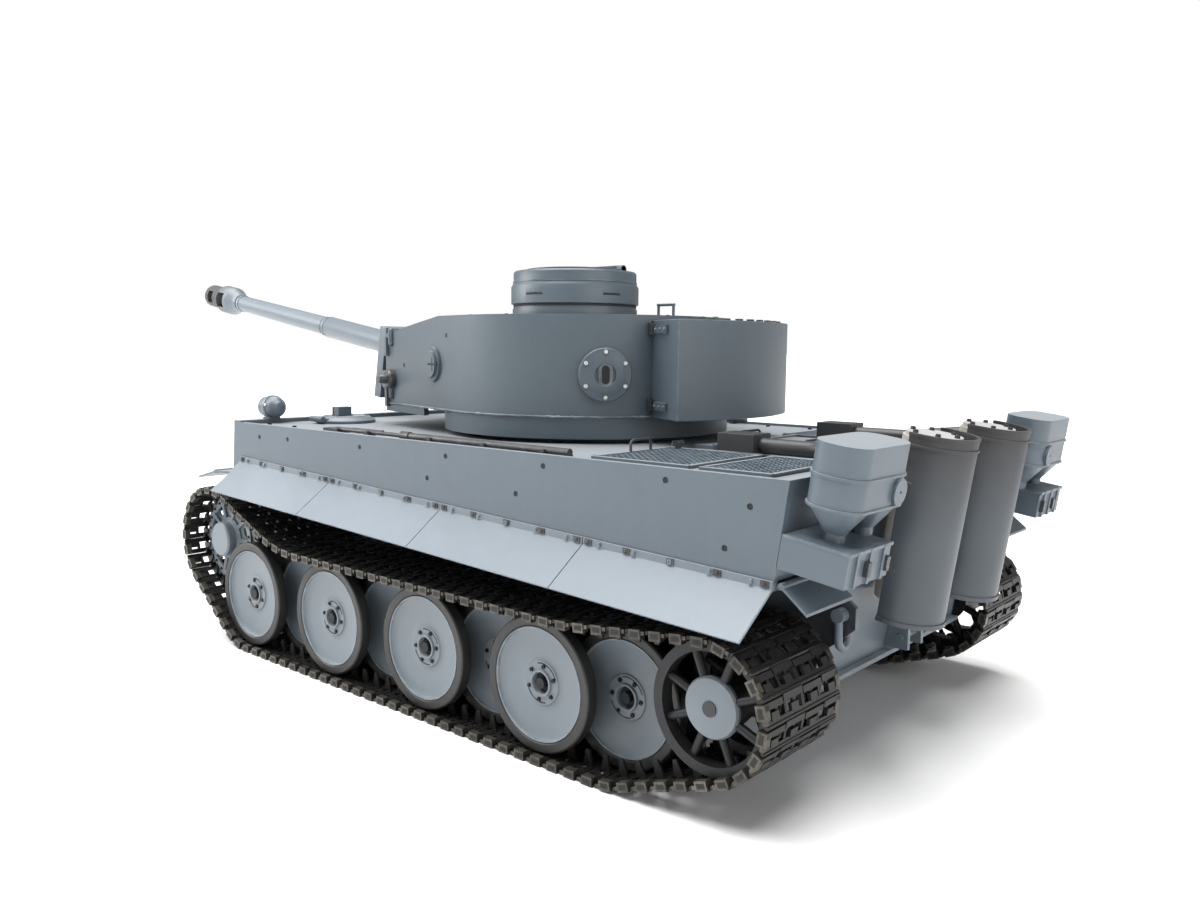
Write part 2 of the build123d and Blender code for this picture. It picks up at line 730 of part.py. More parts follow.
def filter_level(side, height, width, deep, corner, shift=0.0):
    """A rounded outline of a filter at a height of the rear plate."""
    level = rear_level(height)
    out_sign = 1 if level.y_dir.dot(rear_plate.z_dir) > 0 else -1
    with BuildSketch(level) as outline:
        with Locations((side * (filter_mid + shift), out_sign * filter_depth_mid)):
            RectangleRounded(width, deep, corner)
    return outline.sketch


with BuildPart() as air_filters:
    for side in (-1, 1):
        extrude(filter_level(side, filter_low, filter_w, filter_deep, 7.5), amount=filter_top - filter_low)
        for height in (filter_low, (filter_low + filter_top) / 2 - 0.3):
            extrude(filter_level(side, height, filter_w + 1, filter_deep + 1, 8), amount=0.8)
        for shift in (-9.0, 9.0):
            wide = filter_level(side, filter_low, 16.0, filter_deep - 1.5, 5, shift)
            narrow = filter_level(side, funnel_low + 2.6, 6.0, 6.0, 2.6, shift)
            loft([narrow.faces()[0], wide.faces()[0]])
            extrude(filter_level(side, funnel_low, 6.0, 6.0, 2.6, shift), amount=2.7)
        cap_y = side * (filter_mid - 9.0)
        cap_h = (filter_low + (filter_low + filter_top) / 2) / 2
        rod(rear_point(cap_y, cap_h, filter_d1 - 1), rear_point(cap_y, cap_h, filter_d1 + 1.2), 4.2)
        rod(rear_point(cap_y, cap_h, filter_d1 + 0.4), rear_point(cap_y, cap_h, filter_d1 + 2), 0.5,
            mode=Mode.SUBTRACT)
        # foot on the rear plate
        foot_y = side * (filter_mid)
        rod(rear_point(foot_y, 0, fit), rear_point(foot_y, 0, filter_d0 + 2), 3.0)
write_node(air_filters.part, "air_filters")

with BuildPart() as rear_boxes:
    for side in (-1, 1):
        y0, y1 = (box_y0, box_y1) if side > 0 else (-box_y1, -box_y0)
        level = rear_level(box_low)
        out_sign = 1 if level.y_dir.dot(rear_plate.z_dir) > 0 else -1
        with BuildSketch(level) as plan:
            with Locations(((y0 + y1) / 2, out_sign * (box_deep / 2 + fit))):
                Rectangle(y1 - y0, box_deep)
        extrude(plan.sketch, amount=box_top - box_low)
        for strap in (0.2, 0.52, 0.82):
            across = y0 + (y1 - y0) * strap
            with BuildSketch(level) as plan:
                with Locations((across, out_sign * (box_deep / 2 + 0.4 + fit))):
                    Rectangle(1.6, box_deep + 0.8)
            extrude(plan.sketch, amount=box_top - box_low)
write_node(rear_boxes.part, "rear_boxes")

# ---- Turret ---------------------------------------------------------------------------------

cheek_front_low = ring_z + 5.2


def turret_outline(inset, level):
    """The turret's plan: a round body with flat cheeks running to the front corners."""
    corner_x = cheek_x - inset - corner_r
    corner_y = cheek_y - inset - corner_r
    with BuildSketch(Plane.XY.offset(level)) as plan:
        with Locations((turret_x, 0)):
            Circle(turret_r - inset)
        with Locations((corner_x, corner_y), (corner_x, -corner_y)):
            Circle(corner_r)
        make_hull()
    return plan.sketch


def cheek_point(x, z, side):
    """A place on the outer face of a cheek plate."""
    lean = radians(cheek_angle)
    return Vector(x, side * (turret_r - sin(lean) * (x - turret_x)) / cos(lean), z)


roof_slope = (turret_top - roof_front_z) / (cheek_x - roof_bend_x)
lug_y = 30.0
lug_t = 3.0
trunnion_pin_r = 2.5
corner_r = 0.5
corner_run = (cheek_x - corner_r - turret_x, cheek_y - corner_r)
cheek_angle = degrees(asin((turret_r - corner_r) / hypot(*corner_run)) - atan2(corner_run[1], corner_run[0]))
with BuildPart() as turret_shell:
    extrude(turret_outline(0, turret_low), amount=turret_top - turret_low)
    # cheeks hang a little lower ahead of the base ring
    extrude(turret_outline(0, cheek_front_low), amount=turret_low - cheek_front_low + 0.1)
    block(turret_x - turret_r - 2, ring_front_x, -80, 80, cheek_front_low - 1, turret_low, mode=Mode.SUBTRACT)
    # roof falls to the front
    wall_profile([
        (roof_bend_x, turret_top), (cheek_x + 5, turret_top - roof_slope * (cheek_x + 5 - roof_bend_x)),
        (cheek_x + 5, turret_top + 5), (roof_bend_x, turret_top + 5),
    ], -80, 80, mode=Mode.SUBTRACT)
    # inside
    with BuildPart(mode=Mode.PRIVATE) as hollow:
        extrude(turret_outline(turret_wall, cheek_front_low - 1), amount=turret_top - cheek_front_low + 1)
        wall_profile([
            (turret_x - turret_r, turret_top - turret_wall), (roof_bend_x, turret_top - turret_wall),
            (cheek_x + 5, turret_top - turret_wall - roof_slope * (cheek_x + 5 - roof_bend_x)),
            (cheek_x + 5, turret_top + 5), (turret_x - turret_r, turret_top + 5),
        ], -80, 80, mode=Mode.SUBTRACT)
    add(hollow.part, mode=Mode.SUBTRACT)
    # gun opening
    block(cheek_x - 8, cheek_x + 2, -gun_slot_half, gun_slot_half, gun_slot_low, gun_slot_top,
          mode=Mode.SUBTRACT)
    # base ring with its spigot, open for the works
    with Locations((turret_x, 0, ring_z)):
        Cylinder(turret_r - 0.6, turret_low - ring_z + 0.1, align=(Align.CENTER, Align.CENTER, Align.MIN))
        Cylinder(spigot_r, turret_low - ring_z + 1, align=(Align.CENTER, Align.CENTER, Align.MIN),
                 mode=Mode.SUBTRACT)
    block(ring_front_x, 80, -70, 70, ring_z - 1, cheek_front_low, mode=Mode.SUBTRACT)
    with Locations((turret_x, 0, roof_z - plate_t - 4)):
        Cylinder(spigot_r, ring_z - roof_z + plate_t + 5, align=(Align.CENTER, Align.CENTER, Align.MIN))
        Cylinder(spigot_r - 4, 20, align=(Align.CENTER, Align.CENTER, Align.MIN), mode=Mode.SUBTRACT)
    # trunnion lugs under the roof
    for side in (-1, 1):
        y0 = lug_y if side > 0 else -lug_y - lug_t
        block(trunnion_x - 6, trunnion_x + 6, y0, y0 + lug_t, trunnion_z - 6, turret_top - 6)
        rod((trunnion_x, side * (lug_y - 2), trunnion_z), (trunnion_x, side * (lug_y + 8), trunnion_z),
            trunnion_pin_r + pin_fit, mode=Mode.SUBTRACT)
    # hatch openings
    with Locations((cupola_x, cupola_y, turret_top)):
        Cylinder(cupola_r - 6, 8, mode=Mode.SUBTRACT)
    block(loader_x0, loader_x1, loader_y0, loader_y1, turret_top - 4, turret_top + 2, mode=Mode.SUBTRACT)
write_node(turret_shell.part, "turret_shell")

bin_t = 1.4
with BuildPart() as turret_bin:
    with BuildSketch(Plane.XY.offset(bin_low)) as plan:
        with Locations((turret_x, 0)):
            Circle(bin_r)
        half_plane_x = turret_x - sqrt(bin_r ** 2 - bin_half ** 2)
        wall_x = turret_x - sqrt(turret_r ** 2 - bin_inner_half ** 2)
        with BuildLine():
            Polyline(
                (half_plane_x, bin_half), (wall_x, bin_inner_half), (turret_x, 0), (wall_x, -bin_inner_half),
                (half_plane_x, -bin_half), (turret_x - bin_r * 1.3, -bin_half),
                (turret_x - bin_r * 1.3, bin_half), close=True,
            )
        make_face(mode=Mode.INTERSECT)
        with Locations((turret_x, 0)):
            Circle(turret_r + fit, mode=Mode.SUBTRACT)
    extrude(plan.sketch, amount=bin_top - bin_low)
    inner_top = bin_top - bin_t
    with BuildSketch(Plane.XY.offset(bin_low + bin_t)) as room:
        with Locations((turret_x, 0)):
            Circle(bin_r - bin_t)
            Circle(turret_r + bin_t + fit, mode=Mode.SUBTRACT)
        with Locations((turret_x - bin_r, 0)):
            Rectangle(2 * (bin_r - turret_r + 3), 2 * bin_inner_half, mode=Mode.INTERSECT)
    extrude(room.sketch, amount=inner_top - bin_low - bin_t, mode=Mode.SUBTRACT)
write_node(turret_bin.part, "turret_bin")

cupola_hole_r = 17.0
slit_z = cupola_z - 10.1
with BuildPart() as cupola:
    turned((cupola_x, cupola_y, 0), [
        (cupola_hole_r, turret_top + fit), (cupola_r - 0.6, turret_top + fit),
        (cupola_r - 0.6, turret_top + 2.4),
        (cupola_r - 1.2, turret_top + 3.6), (cupola_r - 1.2, turret_top + 4.6), (cupola_r, turret_top + 4.7),
        (cupola_r, cupola_z - 6.7),
        (cupola_r - 1.0, cupola_z - 4.9), (cupola_r - 1.0, cupola_z - 0.7), (cupola_r - 1.6, cupola_z),
        (cupola_hole_r + 4, cupola_z), (cupola_hole_r + 4, cupola_z - 1.6), (cupola_hole_r, cupola_z - 1.6),
    ], direction=(0, 0, 1))
    # vision slits
    for slit in range(5):
        angle = radians(22 + 72 * slit)
        slit_at = (cupola_x + cupola_r * cos(angle), cupola_y + cupola_r * sin(angle), slit_z)
        with Locations(Location(slit_at, (0, 0, degrees(angle)))):
            Box(3.0, 8.5, 0.9, mode=Mode.SUBTRACT)
write_node(cupola.part, "cupola")

cupola_hinge_y = cupola_y - cupola_hole_r - 5.0
cupola_hinge_z = cupola_z + 2.4
with BuildPart() as cupola_hatch:
    with Locations((cupola_x, cupola_y, cupola_z - 1.6 + fit)):
        Cylinder(cupola_hole_r + 4 - running, 2.6, align=(Align.CENTER, Align.CENTER, Align.MIN))
    block(cupola_x - 5, cupola_x + 5, cupola_hinge_y, cupola_y - 9, cupola_z + 0.9, cupola_z + 2.2)
    rod((cupola_x - 7, cupola_hinge_y, cupola_hinge_z), (cupola_x + 7, cupola_hinge_y, cupola_hinge_z), 1.4)
    for end in (-1, 1):
        rod((cupola_x + end * 6.5, cupola_hinge_y, cupola_hinge_z),
            (cupola_x + end * 9.0, cupola_hinge_y, cupola_hinge_z), 2.0)
write_node(cupola_hatch.part, "cupola_hatch")

with BuildPart() as loader_hatch:
    block(loader_x0 - 2, loader_x1 + 2, loader_y0 - 2, loader_y1 + 2, turret_top + fit, turret_top + 1.8)
    block(loader_x0 + 0.4, loader_x1 - 0.4, loader_y0 + 0.4, loader_y1 - 0.4, turret_top - 1.5,
          turret_top + 1)
    pin_x = loader_x1 + 3.2
    rod((pin_x, loader_y0 + 3, turret_top + 1.9), (pin_x, loader_y1 - 3, turret_top + 1.9), 1.2)
    block(loader_x1 + 1, loader_x1 + 3.4, loader_y0 + 3, loader_y1 - 3, turret_top + 0.8, turret_top + 1.8)
write_node(loader_hatch.part, "loader_hatch")

port_angle = 138.0
handle_y = 8.0
bar_t = 1.6
port_z = turret_low + 17.5
port_r = 11.2
strap_zs = (bin_low + 5.0, bin_top - 3.8)
with BuildPart() as turret_fittings:
    for side in (-1, 1):
        # vision boss on the cheek
        normal = Vector(sin(radians(cheek_angle)), side * cos(radians(cheek_angle)), 0)
        spot = cheek_point(32.0, turret_low + 20.3, side)
        rod(spot + normal * fit, spot + normal * 1.2, 8.0)
        rod(spot + normal * 1.1, spot + normal * 2.4, 6.2)
        # block pair at the cheek's front edge, with a pin boss between
        for z in (turret_low + 3.0, turret_low + 28.0):
            middle = cheek_point(cheek_x - 3.0, z, side) + normal * (bar_t / 2 + fit)
            with Locations(Location(middle, (0, 0, -side * cheek_angle))):
                Box(2.4, bar_t, 9.0)
        boss = cheek_point(cheek_x - 4.0, turret_low + 12.0, side)
        rod(boss + normal * fit, boss + normal * 2.6, 4.4)
        rod(boss + normal * 2.5, boss + normal * 6.5, 1.6)
        # bin straps
        for z in strap_zs:
            outer = Vector(turret_x - sqrt(bin_r ** 2 - bin_half ** 2), side * bin_half, z)
            inner = Vector(turret_x - sqrt(turret_r ** 2 - bin_inner_half ** 2), side * bin_inner_half, z)
            across = (outer - inner).normalized()
            facing = Vector(across.Y, -across.X, 0) * (1 if side * (-across.X) > 0 else -1)
            with Locations(Plane(origin=inner + across * 10.5 + facing * 0.6, x_dir=across, z_dir=(0, 0, 1))):
                Box(12, 1.0, 3.2)
    # pistol port on the left rear of the wall
    normal = Vector(cos(radians(port_angle)), sin(radians(port_angle)), 0)
    spot = Vector(turret_x, 0, port_z) + normal * (turret_r - 1.2)
    rod(spot, spot + normal * 2.6, port_r)
    with Locations(Plane(origin=spot + normal * 2.6, x_dir=(0, 0, 1), z_dir=normal)):
        Box(6, 2.6, 2, mode=Mode.SUBTRACT)
    # the port's back is dished to the round wall
    with Locations((turret_x, 0, turret_low)):
        Cylinder(turret_r + fit, turret_top - turret_low, align=(Align.CENTER, Align.CENTER, Align.MIN),
                 mode=Mode.SUBTRACT)
    # wire handle and ventilator on the roof
    handle_top = turret_top + 5
    for x in (-66, -58):
        rod((x, handle_y, turret_top + fit), (x, handle_y, handle_top), 0.6)
    rod((-66.6, handle_y, handle_top), (-57.4, handle_y, handle_top), 0.6)
    with Locations((16, 12, turret_top + fit)):
        Cylinder(6.5, 2.2, align=(Align.CENTER, Align.CENTER, Align.MIN))
write_node(turret_fittings.part, "turret_fittings")

# ---- Gun ------------------------------------------------------------------------------------

gun_dir = Vector(cos(radians(gun_tilt)), 0, sin(radians(gun_tilt)))
gun_frame = Plane(origin=(trunnion_x, 0, trunnion_z), x_dir=gun_dir, z_dir=(-gun_dir.Z, 0, gun_dir.X))
trunnion = (trunnion_x, 0, trunnion_z)
plate_front = mantlet_back + mantlet_t
bore_fit = 0.15
cradle_back = -12.0
cradle_top = 7.8       # passes under the top of the gun slot at full elevation
with BuildPart() as mantlet:
    with Locations(gun_frame):
        block(mantlet_back, plate_front, -mantlet_half, mantlet_half, mantlet_low, mantlet_top)
        # upper lip and shoulders behind the plate
        block(mantlet_back - 2.2, mantlet_back + 0.1, -mantlet_half + 4, mantlet_half - 4, mantlet_top - 1.2,
              mantlet_top)
    turned(trunnion, [
        (sleeve_r + bore_fit, mantlet_back), (13.5, mantlet_back), (13.5, plate_front + 1.6),
        (10.0, plate_front + 5.0), (9.0, plate_front + 12.0), (8.4, collar_len - 3.0), (7.8, collar_len),
        (sleeve_r + bore_fit, collar_len),
    ], direction=gun_dir)
    bore_cut = 60.0
    turned(trunnion, [(0, mantlet_back - 3), (sleeve_r + bore_fit, mantlet_back - 3),
                      (sleeve_r + bore_fit, mantlet_back + bore_cut), (0, mantlet_back + bore_cut)],
           direction=gun_dir, mode=Mode.SUBTRACT)
    with Locations(gun_frame):
        # gun sight and machine-gun openings
        for y, z in ((27, 4), (-26, 2)):
            with Locations(Location((plate_front, y, z), (0, 90, 0))):
                Cylinder(2.0, 6, mode=Mode.SUBTRACT)
write_node(mantlet.part, "mantlet")

with BuildPart() as elevation_unit:
    with Locations(gun_frame):
        block(cradle_back, mantlet_back - 2.6, -14, 14, -12, cradle_top)
    turned(trunnion, [(0, cradle_back - 1), (sleeve_r + bore_fit, cradle_back - 1),
                      (sleeve_r + bore_fit, mantlet_back), (0, mantlet_back)], direction=gun_dir,
           mode=Mode.SUBTRACT)
    for side in (-1, 1):
        rod((trunnion_x, side * 13, trunnion_z), (trunnion_x, side * (lug_y + lug_t + 1), trunnion_z),
            trunnion_pin_r)
        with Locations(gun_frame):
            block(10, mantlet_back - fit, side * 11 - 1.5, side * 11 + 1.5, -11, cradle_top)
write_node(elevation_unit.part, "elevation_unit")

barrel_back = cradle_back + 2
with BuildPart() as gun_barrel:
    turned(trunnion, [
        (bore_r, barrel_back), (sleeve_r, barrel_back), (sleeve_r, sleeve_end - 1.2),
        (barrel_r + 0.2, sleeve_end),
        (barrel_r, sleeve_end + 0.2), (tip_r, muzzle_start), (bore_r, muzzle_start),
    ], direction=gun_dir)
    turned(trunnion, [
        (bore_r, muzzle_start + fit), (tip_r + 0.6, muzzle_start + fit), (tip_r + 0.9, muzzle_start + 2.5),
        (brake_r - 1.6, muzzle_start + 6.0), (brake_r, muzzle_start + 9.5), (brake_r, muzzle_start + 19.0),
        (brake_r - 1.2, muzzle_start + 21.0), (7.4, muzzle_start + 24.0), (7.3, muzzle_end - 0.8),
        (6.6, muzzle_end), (bore_r + 1.2, muzzle_end), (bore_r, muzzle_end - 1.5),
    ], direction=gun_dir)
    # side ports of the two baffles
    for start, length, height in ((muzzle_start + 10.5, 8.0, 9.5), (muzzle_end - 10.0, 6.0, 8.0)):
        with Locations(gun_frame):
            with Locations((start + length / 2, 0, 0)):
                Box(length, brake_r * 3, height, mode=Mode.SUBTRACT)
write_node(gun_barrel.part, "gun_barrel")

# ---- Hull hatches, visor, bow gun, lamp -------------------------------------------------------

lid_t = 3.2


def hatch_lid(side):
    """A round crowned lid with its periscope and hinge knuckle, the hinge on the outboard side."""
    y = side * hatch_y
    turned((hatch_x, y, 0), [
        (0, roof_z + fit), (hatch_r, roof_z + fit), (hatch_r, roof_z + 1.4), (hatch_r - 3.0, roof_z + lid_t),
        (0, roof_z + lid_t),
    ], direction=(0, 0, 1))
    with Locations((hatch_x, y, roof_z - 1.4)):
        Cylinder(hatch_r - 2.0 - 0.8, 3.2)
    with Locations((hatch_x + 3, y, roof_z + lid_t + 2.2)):
        Box(5.0, 8.0, 5.0)
    hinge_y = y + side * (hatch_r + 1.8)
    rod((hatch_x - 5, hinge_y, roof_z + 2.4), (hatch_x + 5, hinge_y, roof_z + 2.4), 1.5)
    y0, y1 = sorted((y + side * (hatch_r - 3), hinge_y))
    block(hatch_x - 4, hatch_x + 4, y0, y1, roof_z + 1.2, roof_z + 2.6)


with BuildPart() as driver_hatch:
    hatch_lid(1)
write_node(driver_hatch.part, "driver_hatch")
with BuildPart() as radio_hatch:
    hatch_lid(-1)
write_node(radio_hatch.part, "radio_hatch")


def front_patch(low, high, back, front):
    """An outline that lies on the leaning front plate, between two heights."""
    outline = ((low, back), (high, back), (high, front), (low, front))
    return [(front_face(z) + front_t + fit + depth, z) for z, depth in outline]


with BuildPart() as driver_visor:
    for half_w, low, high, back, front in (
        (14, visor_z - 5, visor_z + 4, 0, 3.2),
        (11, visor_z - 3.5, visor_z - 1, 3, 4.4),
        (11, visor_z + 0.5, visor_z + 2.5, 3, 4.4),
    ):
        wall_profile(front_patch(low, high, back, front), visor_y - half_w, visor_y + half_w)
    for y in (visor_y - 17, visor_y + 17):
        wall_profile(front_patch(visor_z - 4, visor_z + 4, 0, 2.4), y - 1.6, y + 1.6)
write_node(driver_visor.part, "driver_visor")

with BuildPart() as bow_gun:
    with Locations((ball_x, bow_gun_y, bow_gun_z)):
        Sphere(ball_r)
    rod((ball_x, bow_gun_y, bow_gun_z), (ball_x + 19, bow_gun_y, bow_gun_z), 1.5)
    rod((ball_x, bow_gun_y, bow_gun_z), (ball_x + 11, bow_gun_y, bow_gun_z), 2.4)
    rod((ball_x, bow_gun_y, bow_gun_z - ball_r - 1), (ball_x, bow_gun_y, bow_gun_z + ball_r + 1),
        ball_pin_r + pin_fit, mode=Mode.SUBTRACT)
write_node(bow_gun.part, "bow_gun")

with BuildPart() as headlamp:
    turned(lamp, [
        (0, -8.0), (lamp_r * 0.5, -7.0), (lamp_r * 0.87, -4.4), (lamp_r, -1.0), (lamp_r + 0.3, -0.8),
        (lamp_r + 0.3, 1.2), (lamp_r, 1.4), (lamp_r * 0.94, 5.6), (lamp_r * 0.6, 7.4), (0, 8.0),
    ], direction=(1, 0, 0))
    rod((lamp[0] - 1, lamp[1], deck_z + 0.85 + fit), (lamp[0] - 1, lamp[1], lamp[2] - 2), 1.4)
    block(lamp[0] - 1.4, lamp[0] + 4.4, lamp[1] - 3.2, lamp[1] + 3.2, deck_z + 0.85, deck_z + 1.8)
write_node(headlamp.part, "headlamp")

# ---- Mudguard flaps -------------------------------------------------------------------------

flap_y0 = tub_half + 2
flap_y1 = hull_half - 0.5
front_pin = (mudguard_x + 1.6, mudguard_top - 1.1)
rear_pin = (rear_edge(side_rear_z) - 2.0, side_rear_z - 1.2)
with BuildPart() as front_flap:
    wall_profile([
        (front_pin[0], front_pin[1] + 0.5), (front_pin[0] + 17, front_pin[1] - 3.8),
        (front_pin[0] + 17, front_pin[1] - 4.8), (front_pin[0], front_pin[1] - 0.5),
    ], flap_y0, flap_y1)
    rod((front_pin[0], flap_y0, front_pin[1]), (front_pin[0], flap_y1, front_pin[1]), 1.1)
write_pair(front_flap.part, "front_left_flap", "front_right_flap")
with BuildPart() as rear_flap:
    wall_profile([
        (rear_pin[0], rear_pin[1] + 0.5), (rear_pin[0] - 9, rear_pin[1] - 6.8),
        (rear_pin[0] - 9, rear_pin[1] - 7.8), (rear_pin[0], rear_pin[1] - 0.5),
    ], tub_half + 8, flap_y1)
    rod((rear_pin[0], tub_half + 8, rear_pin[1]), (rear_pin[0], flap_y1, rear_pin[1]), 1.1)
write_pair(rear_flap.part, "rear_left_flap", "rear_right_flap")

# ---- Tow shackles ---------------------------------------------------------------------------

shackle_y = tub_half - tub_wall / 2
shackle_r = 1.4
shackle_drop = 11.0
shackle_half = 3.4
with BuildPart() as shackle:
    x, z = ear_hole
    rod((x, shackle_y - shackle_half - 1.6, z), (x, shackle_y + shackle_half + 1.6, z), ear_hole_r - pin_fit)
    for edge in (-1, 1):
        y = shackle_y + edge * shackle_half
        rod((x, y, z), (x, y, z - shackle_drop + 3), shackle_r)
    with BuildSketch(Plane.XY.offset(z - shackle_drop + 3)) as eye:
        with Locations((x, shackle_y - shackle_half)):
            Circle(shackle_r)
    revolve(eye.sketch, axis=Axis((x, shackle_y, z - shackle_drop + 3), (1, 0, 0)), revolution_arc=180)
write_pair(shackle.part, "left_shackle", "right_shackle")

# ---- Deck tools, hoses, screws ----------------------------------------------------------------

tool_y = hull_inner - 3.0
with BuildPart() as deck_tools:
    z = roof_z + 2.0
    rod((60, tool_y, z), (12, tool_y, z), 0.9)
    rod((6, tool_y, z), (-84, tool_y, z), 1.5)
    rod((6, tool_y, z), (11.5, tool_y, z), 1.9)
    for x in (56, 34, -8, -40, -72):
        block(x - 1.2, x + 1.2, tool_y - 2.4, tool_y + 2.4, roof_z + fit, roof_z + 2.6)
    for x0, x1, y in ((95, 62, -tool_y), (50, -40, -tool_y), (80, 20, -tool_y + 6)):
        rod((x0, y, z), (x1, y, z), 1.3)
        for x in (x0 - 8, x1 + 8):
            block(x - 1.2, x + 1.2, y - 2.2, y + 2.2, roof_z + fit, roof_z + 2.4)
    # shovel blade and cutters at the front left
    shovel_y = tool_y - 8.56
    block(58, 76, shovel_y - 4, shovel_y + 4, roof_z + fit, roof_z + 1.4)
    rod((58, shovel_y, roof_z + 1.2), (36, shovel_y, roof_z + 1.2), 1.0)
    for x in (44, 52):
        block(x - 1.2, x + 1.2, shovel_y - 2, shovel_y + 2, roof_z + fit, roof_z + 1.4)
write_node(deck_tools.part, "deck_tools")

hose_r = 3.0
hose_z = roof_z + hose_r + 1.0
junction_x = -128.0
junction_y = 38.0
with BuildPart() as left_hose:
    corners = [
        (junction_x - 2, junction_y, hose_z), (junction_x - 24, junction_y, hose_z),
        (rear_x - 2, junction_y + 6, hose_z + 3), (rear_x - 9.0, filter_y0 - 3.4, hose_z + 3),
        (rear_x - 11.0, filter_y0 - 1.4, hose_z + 2.6),
    ]
    with BuildLine() as route:
        FilletPolyline(*corners, radius=[20.0, 14.0, 7.0])
    with BuildSketch(Plane(origin=corners[0], z_dir=(-1, 0, 0))) as bore:
        Circle(hose_r)
    sweep(bore.sketch, path=route.line)
with BuildPart() as air_hoses:
    add(left_hose.part)
    mirror(left_hose.part, about=Plane.XZ)
    for side in (-1, 1):
        block(junction_x - 1.9, junction_x + 14, side * junction_y - 6, side * junction_y + 6, roof_z + 1.7,
              roof_z + 8.4)
write_node(air_hoses.part, "air_hoses")

screw_head_r = 1.0
with BuildPart() as hull_screws:
    for side in (-1, 1):
        for x, z in side_screws:
            rod((x, side * (hull_half - plate_t), z), (x, side * (hull_half - 0.5), z), screw_head_r)
        for x in (-80, -56, 100, 122):
            rod((x, side * 88, roof_z + fit), (x, side * 88, roof_z + 0.8), screw_head_r)
write_node(hull_screws.part, "hull_screws")

# ---- Works inside the hull ------------------------------------------------------------------

with BuildPart() as drive_gearboxes:
    for side in (-1, 1):
        y0, y1 = sorted((side * 38.0, side * (tub_half - tub_wall - fit)))
        block(100, 143, y0, y1, 46, 66)
        rod((sprocket_x, y0, sprocket_z), (sprocket_x, y1, sprocket_z), 3.9)
        rod((112, side * 6, 50), (112, side * 37.9, 50), 12.0)
        rod((sprocket_x, side * 30, sprocket_z), (sprocket_x, side * 70, sprocket_z), drive_shaft_r + pin_fit,
            mode=Mode.SUBTRACT)
write_node(drive_gearboxes.part, "drive_gearboxes")

floor_z = belly_z + tub_wall + fit
with BuildPart() as battery_pack:
    block(-130, -40, -23, 23, floor_z, floor_z + 23)
write_node(battery_pack.part, "battery_pack")
with BuildPart() as control_board:
    block(20, 84, -36, 14, floor_z + 4, floor_z + 6)
    for x, y in ((24, -32), (24, 10), (80, -32), (80, 10)):
        rod((x, y, floor_z), (x, y, floor_z + 4.5), 2.0)
    block(30, 50, -25, 5, floor_z + 5.9, floor_z + 11)
    block(58, 74, -25, -5, floor_z + 5.9, floor_z + 14)
write_node(control_board.part, "control_board")
with BuildPart() as speaker:
    block(-150, -134, -24, 24, floor_z + 6, floor_z + 36)
    rod((-142, 0, floor_z), (-142, 0, floor_z + 7), 5)
write_node(speaker.part, "speaker")

pinion_r = 5.0
drive_x = turret_x - spigot_r + 4 + running + pinion_r - 1
with BuildPart() as turret_drive:
    block(drive_x - 12, drive_x + 12, -10, 10, floor_z + 24, floor_z + 50)
    rod((drive_x + 1, 0, floor_z + 49), (drive_x + 1, 0, roof_z - 3), pinion_r)
    for x in (-8, 8):
        rod((drive_x + x, 0, floor_z + 23 + 0.05), (drive_x + x, 0, floor_z + 25), 3)
write_node(turret_drive.part, "turret_drive")

with BuildPart() as power_switch:
    block(-21.0, -16.0, 25, 29, belly_z - 0.6, belly_z + 5)
    block(-24.0, -12.0, 23, 31, belly_z + tub_wall + 0.1, belly_z + 5)
write_node(power_switch.part, "power_switch")
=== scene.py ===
"""Visible pieces, finishes and stage of a radio-controlled 1:16 heavy tank, built round its frame.

+X is forward, +Y is left, +Z is up, and the origin is on the ground. Shapes are given in
millimetres and become metres when a piece is made.
"""
import json
from math import asin, atan2, cos, hypot, pi, radians, sin, sqrt

import bmesh
import bpy
from bpy.props import FloatProperty, FloatVectorProperty, IntProperty
from mathutils import Matrix, Vector


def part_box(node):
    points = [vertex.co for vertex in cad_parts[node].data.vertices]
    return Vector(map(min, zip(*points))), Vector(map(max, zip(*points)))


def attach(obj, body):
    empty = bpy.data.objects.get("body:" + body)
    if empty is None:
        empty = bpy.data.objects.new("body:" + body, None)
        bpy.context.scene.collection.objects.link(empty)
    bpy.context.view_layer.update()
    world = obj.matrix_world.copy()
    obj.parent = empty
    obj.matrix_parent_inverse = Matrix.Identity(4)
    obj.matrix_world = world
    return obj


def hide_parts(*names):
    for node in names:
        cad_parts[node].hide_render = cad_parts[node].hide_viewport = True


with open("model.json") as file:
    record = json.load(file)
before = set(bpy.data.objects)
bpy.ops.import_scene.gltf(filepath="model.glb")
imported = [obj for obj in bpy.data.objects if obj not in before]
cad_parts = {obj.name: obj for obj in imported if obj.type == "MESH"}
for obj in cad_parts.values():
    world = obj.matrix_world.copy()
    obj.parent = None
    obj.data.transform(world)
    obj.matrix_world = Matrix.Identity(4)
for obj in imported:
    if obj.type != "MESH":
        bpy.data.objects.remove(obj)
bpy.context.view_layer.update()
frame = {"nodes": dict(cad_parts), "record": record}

bl_info = {
    "name": "Remote Control Tank Looks",
    "version": (1, 0, 0),
    "blender": (4, 5, 0),
    "location": "View3D > Sidebar > Tank",
    "description": "Builds the visible pieces, finishes and stage of a remote control tank",
    "category": "Object",
}

MM = 0.001
BODY = {node: body for body, nodes in frame["record"]["behaviour"]["bodies"].items() for node in nodes}
SIDES = (("left", 1), ("right", -1))

# ---- Places in millimetres, some read from the frame and the rest given as numbers --------------


def corners(node):
    """Lowest and highest corner of a node."""
    low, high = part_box(node)
    return low / MM, high / MM


def middle(node):
    """Middle of a node's box."""
    low, high = corners(node)
    return (low + high) / 2


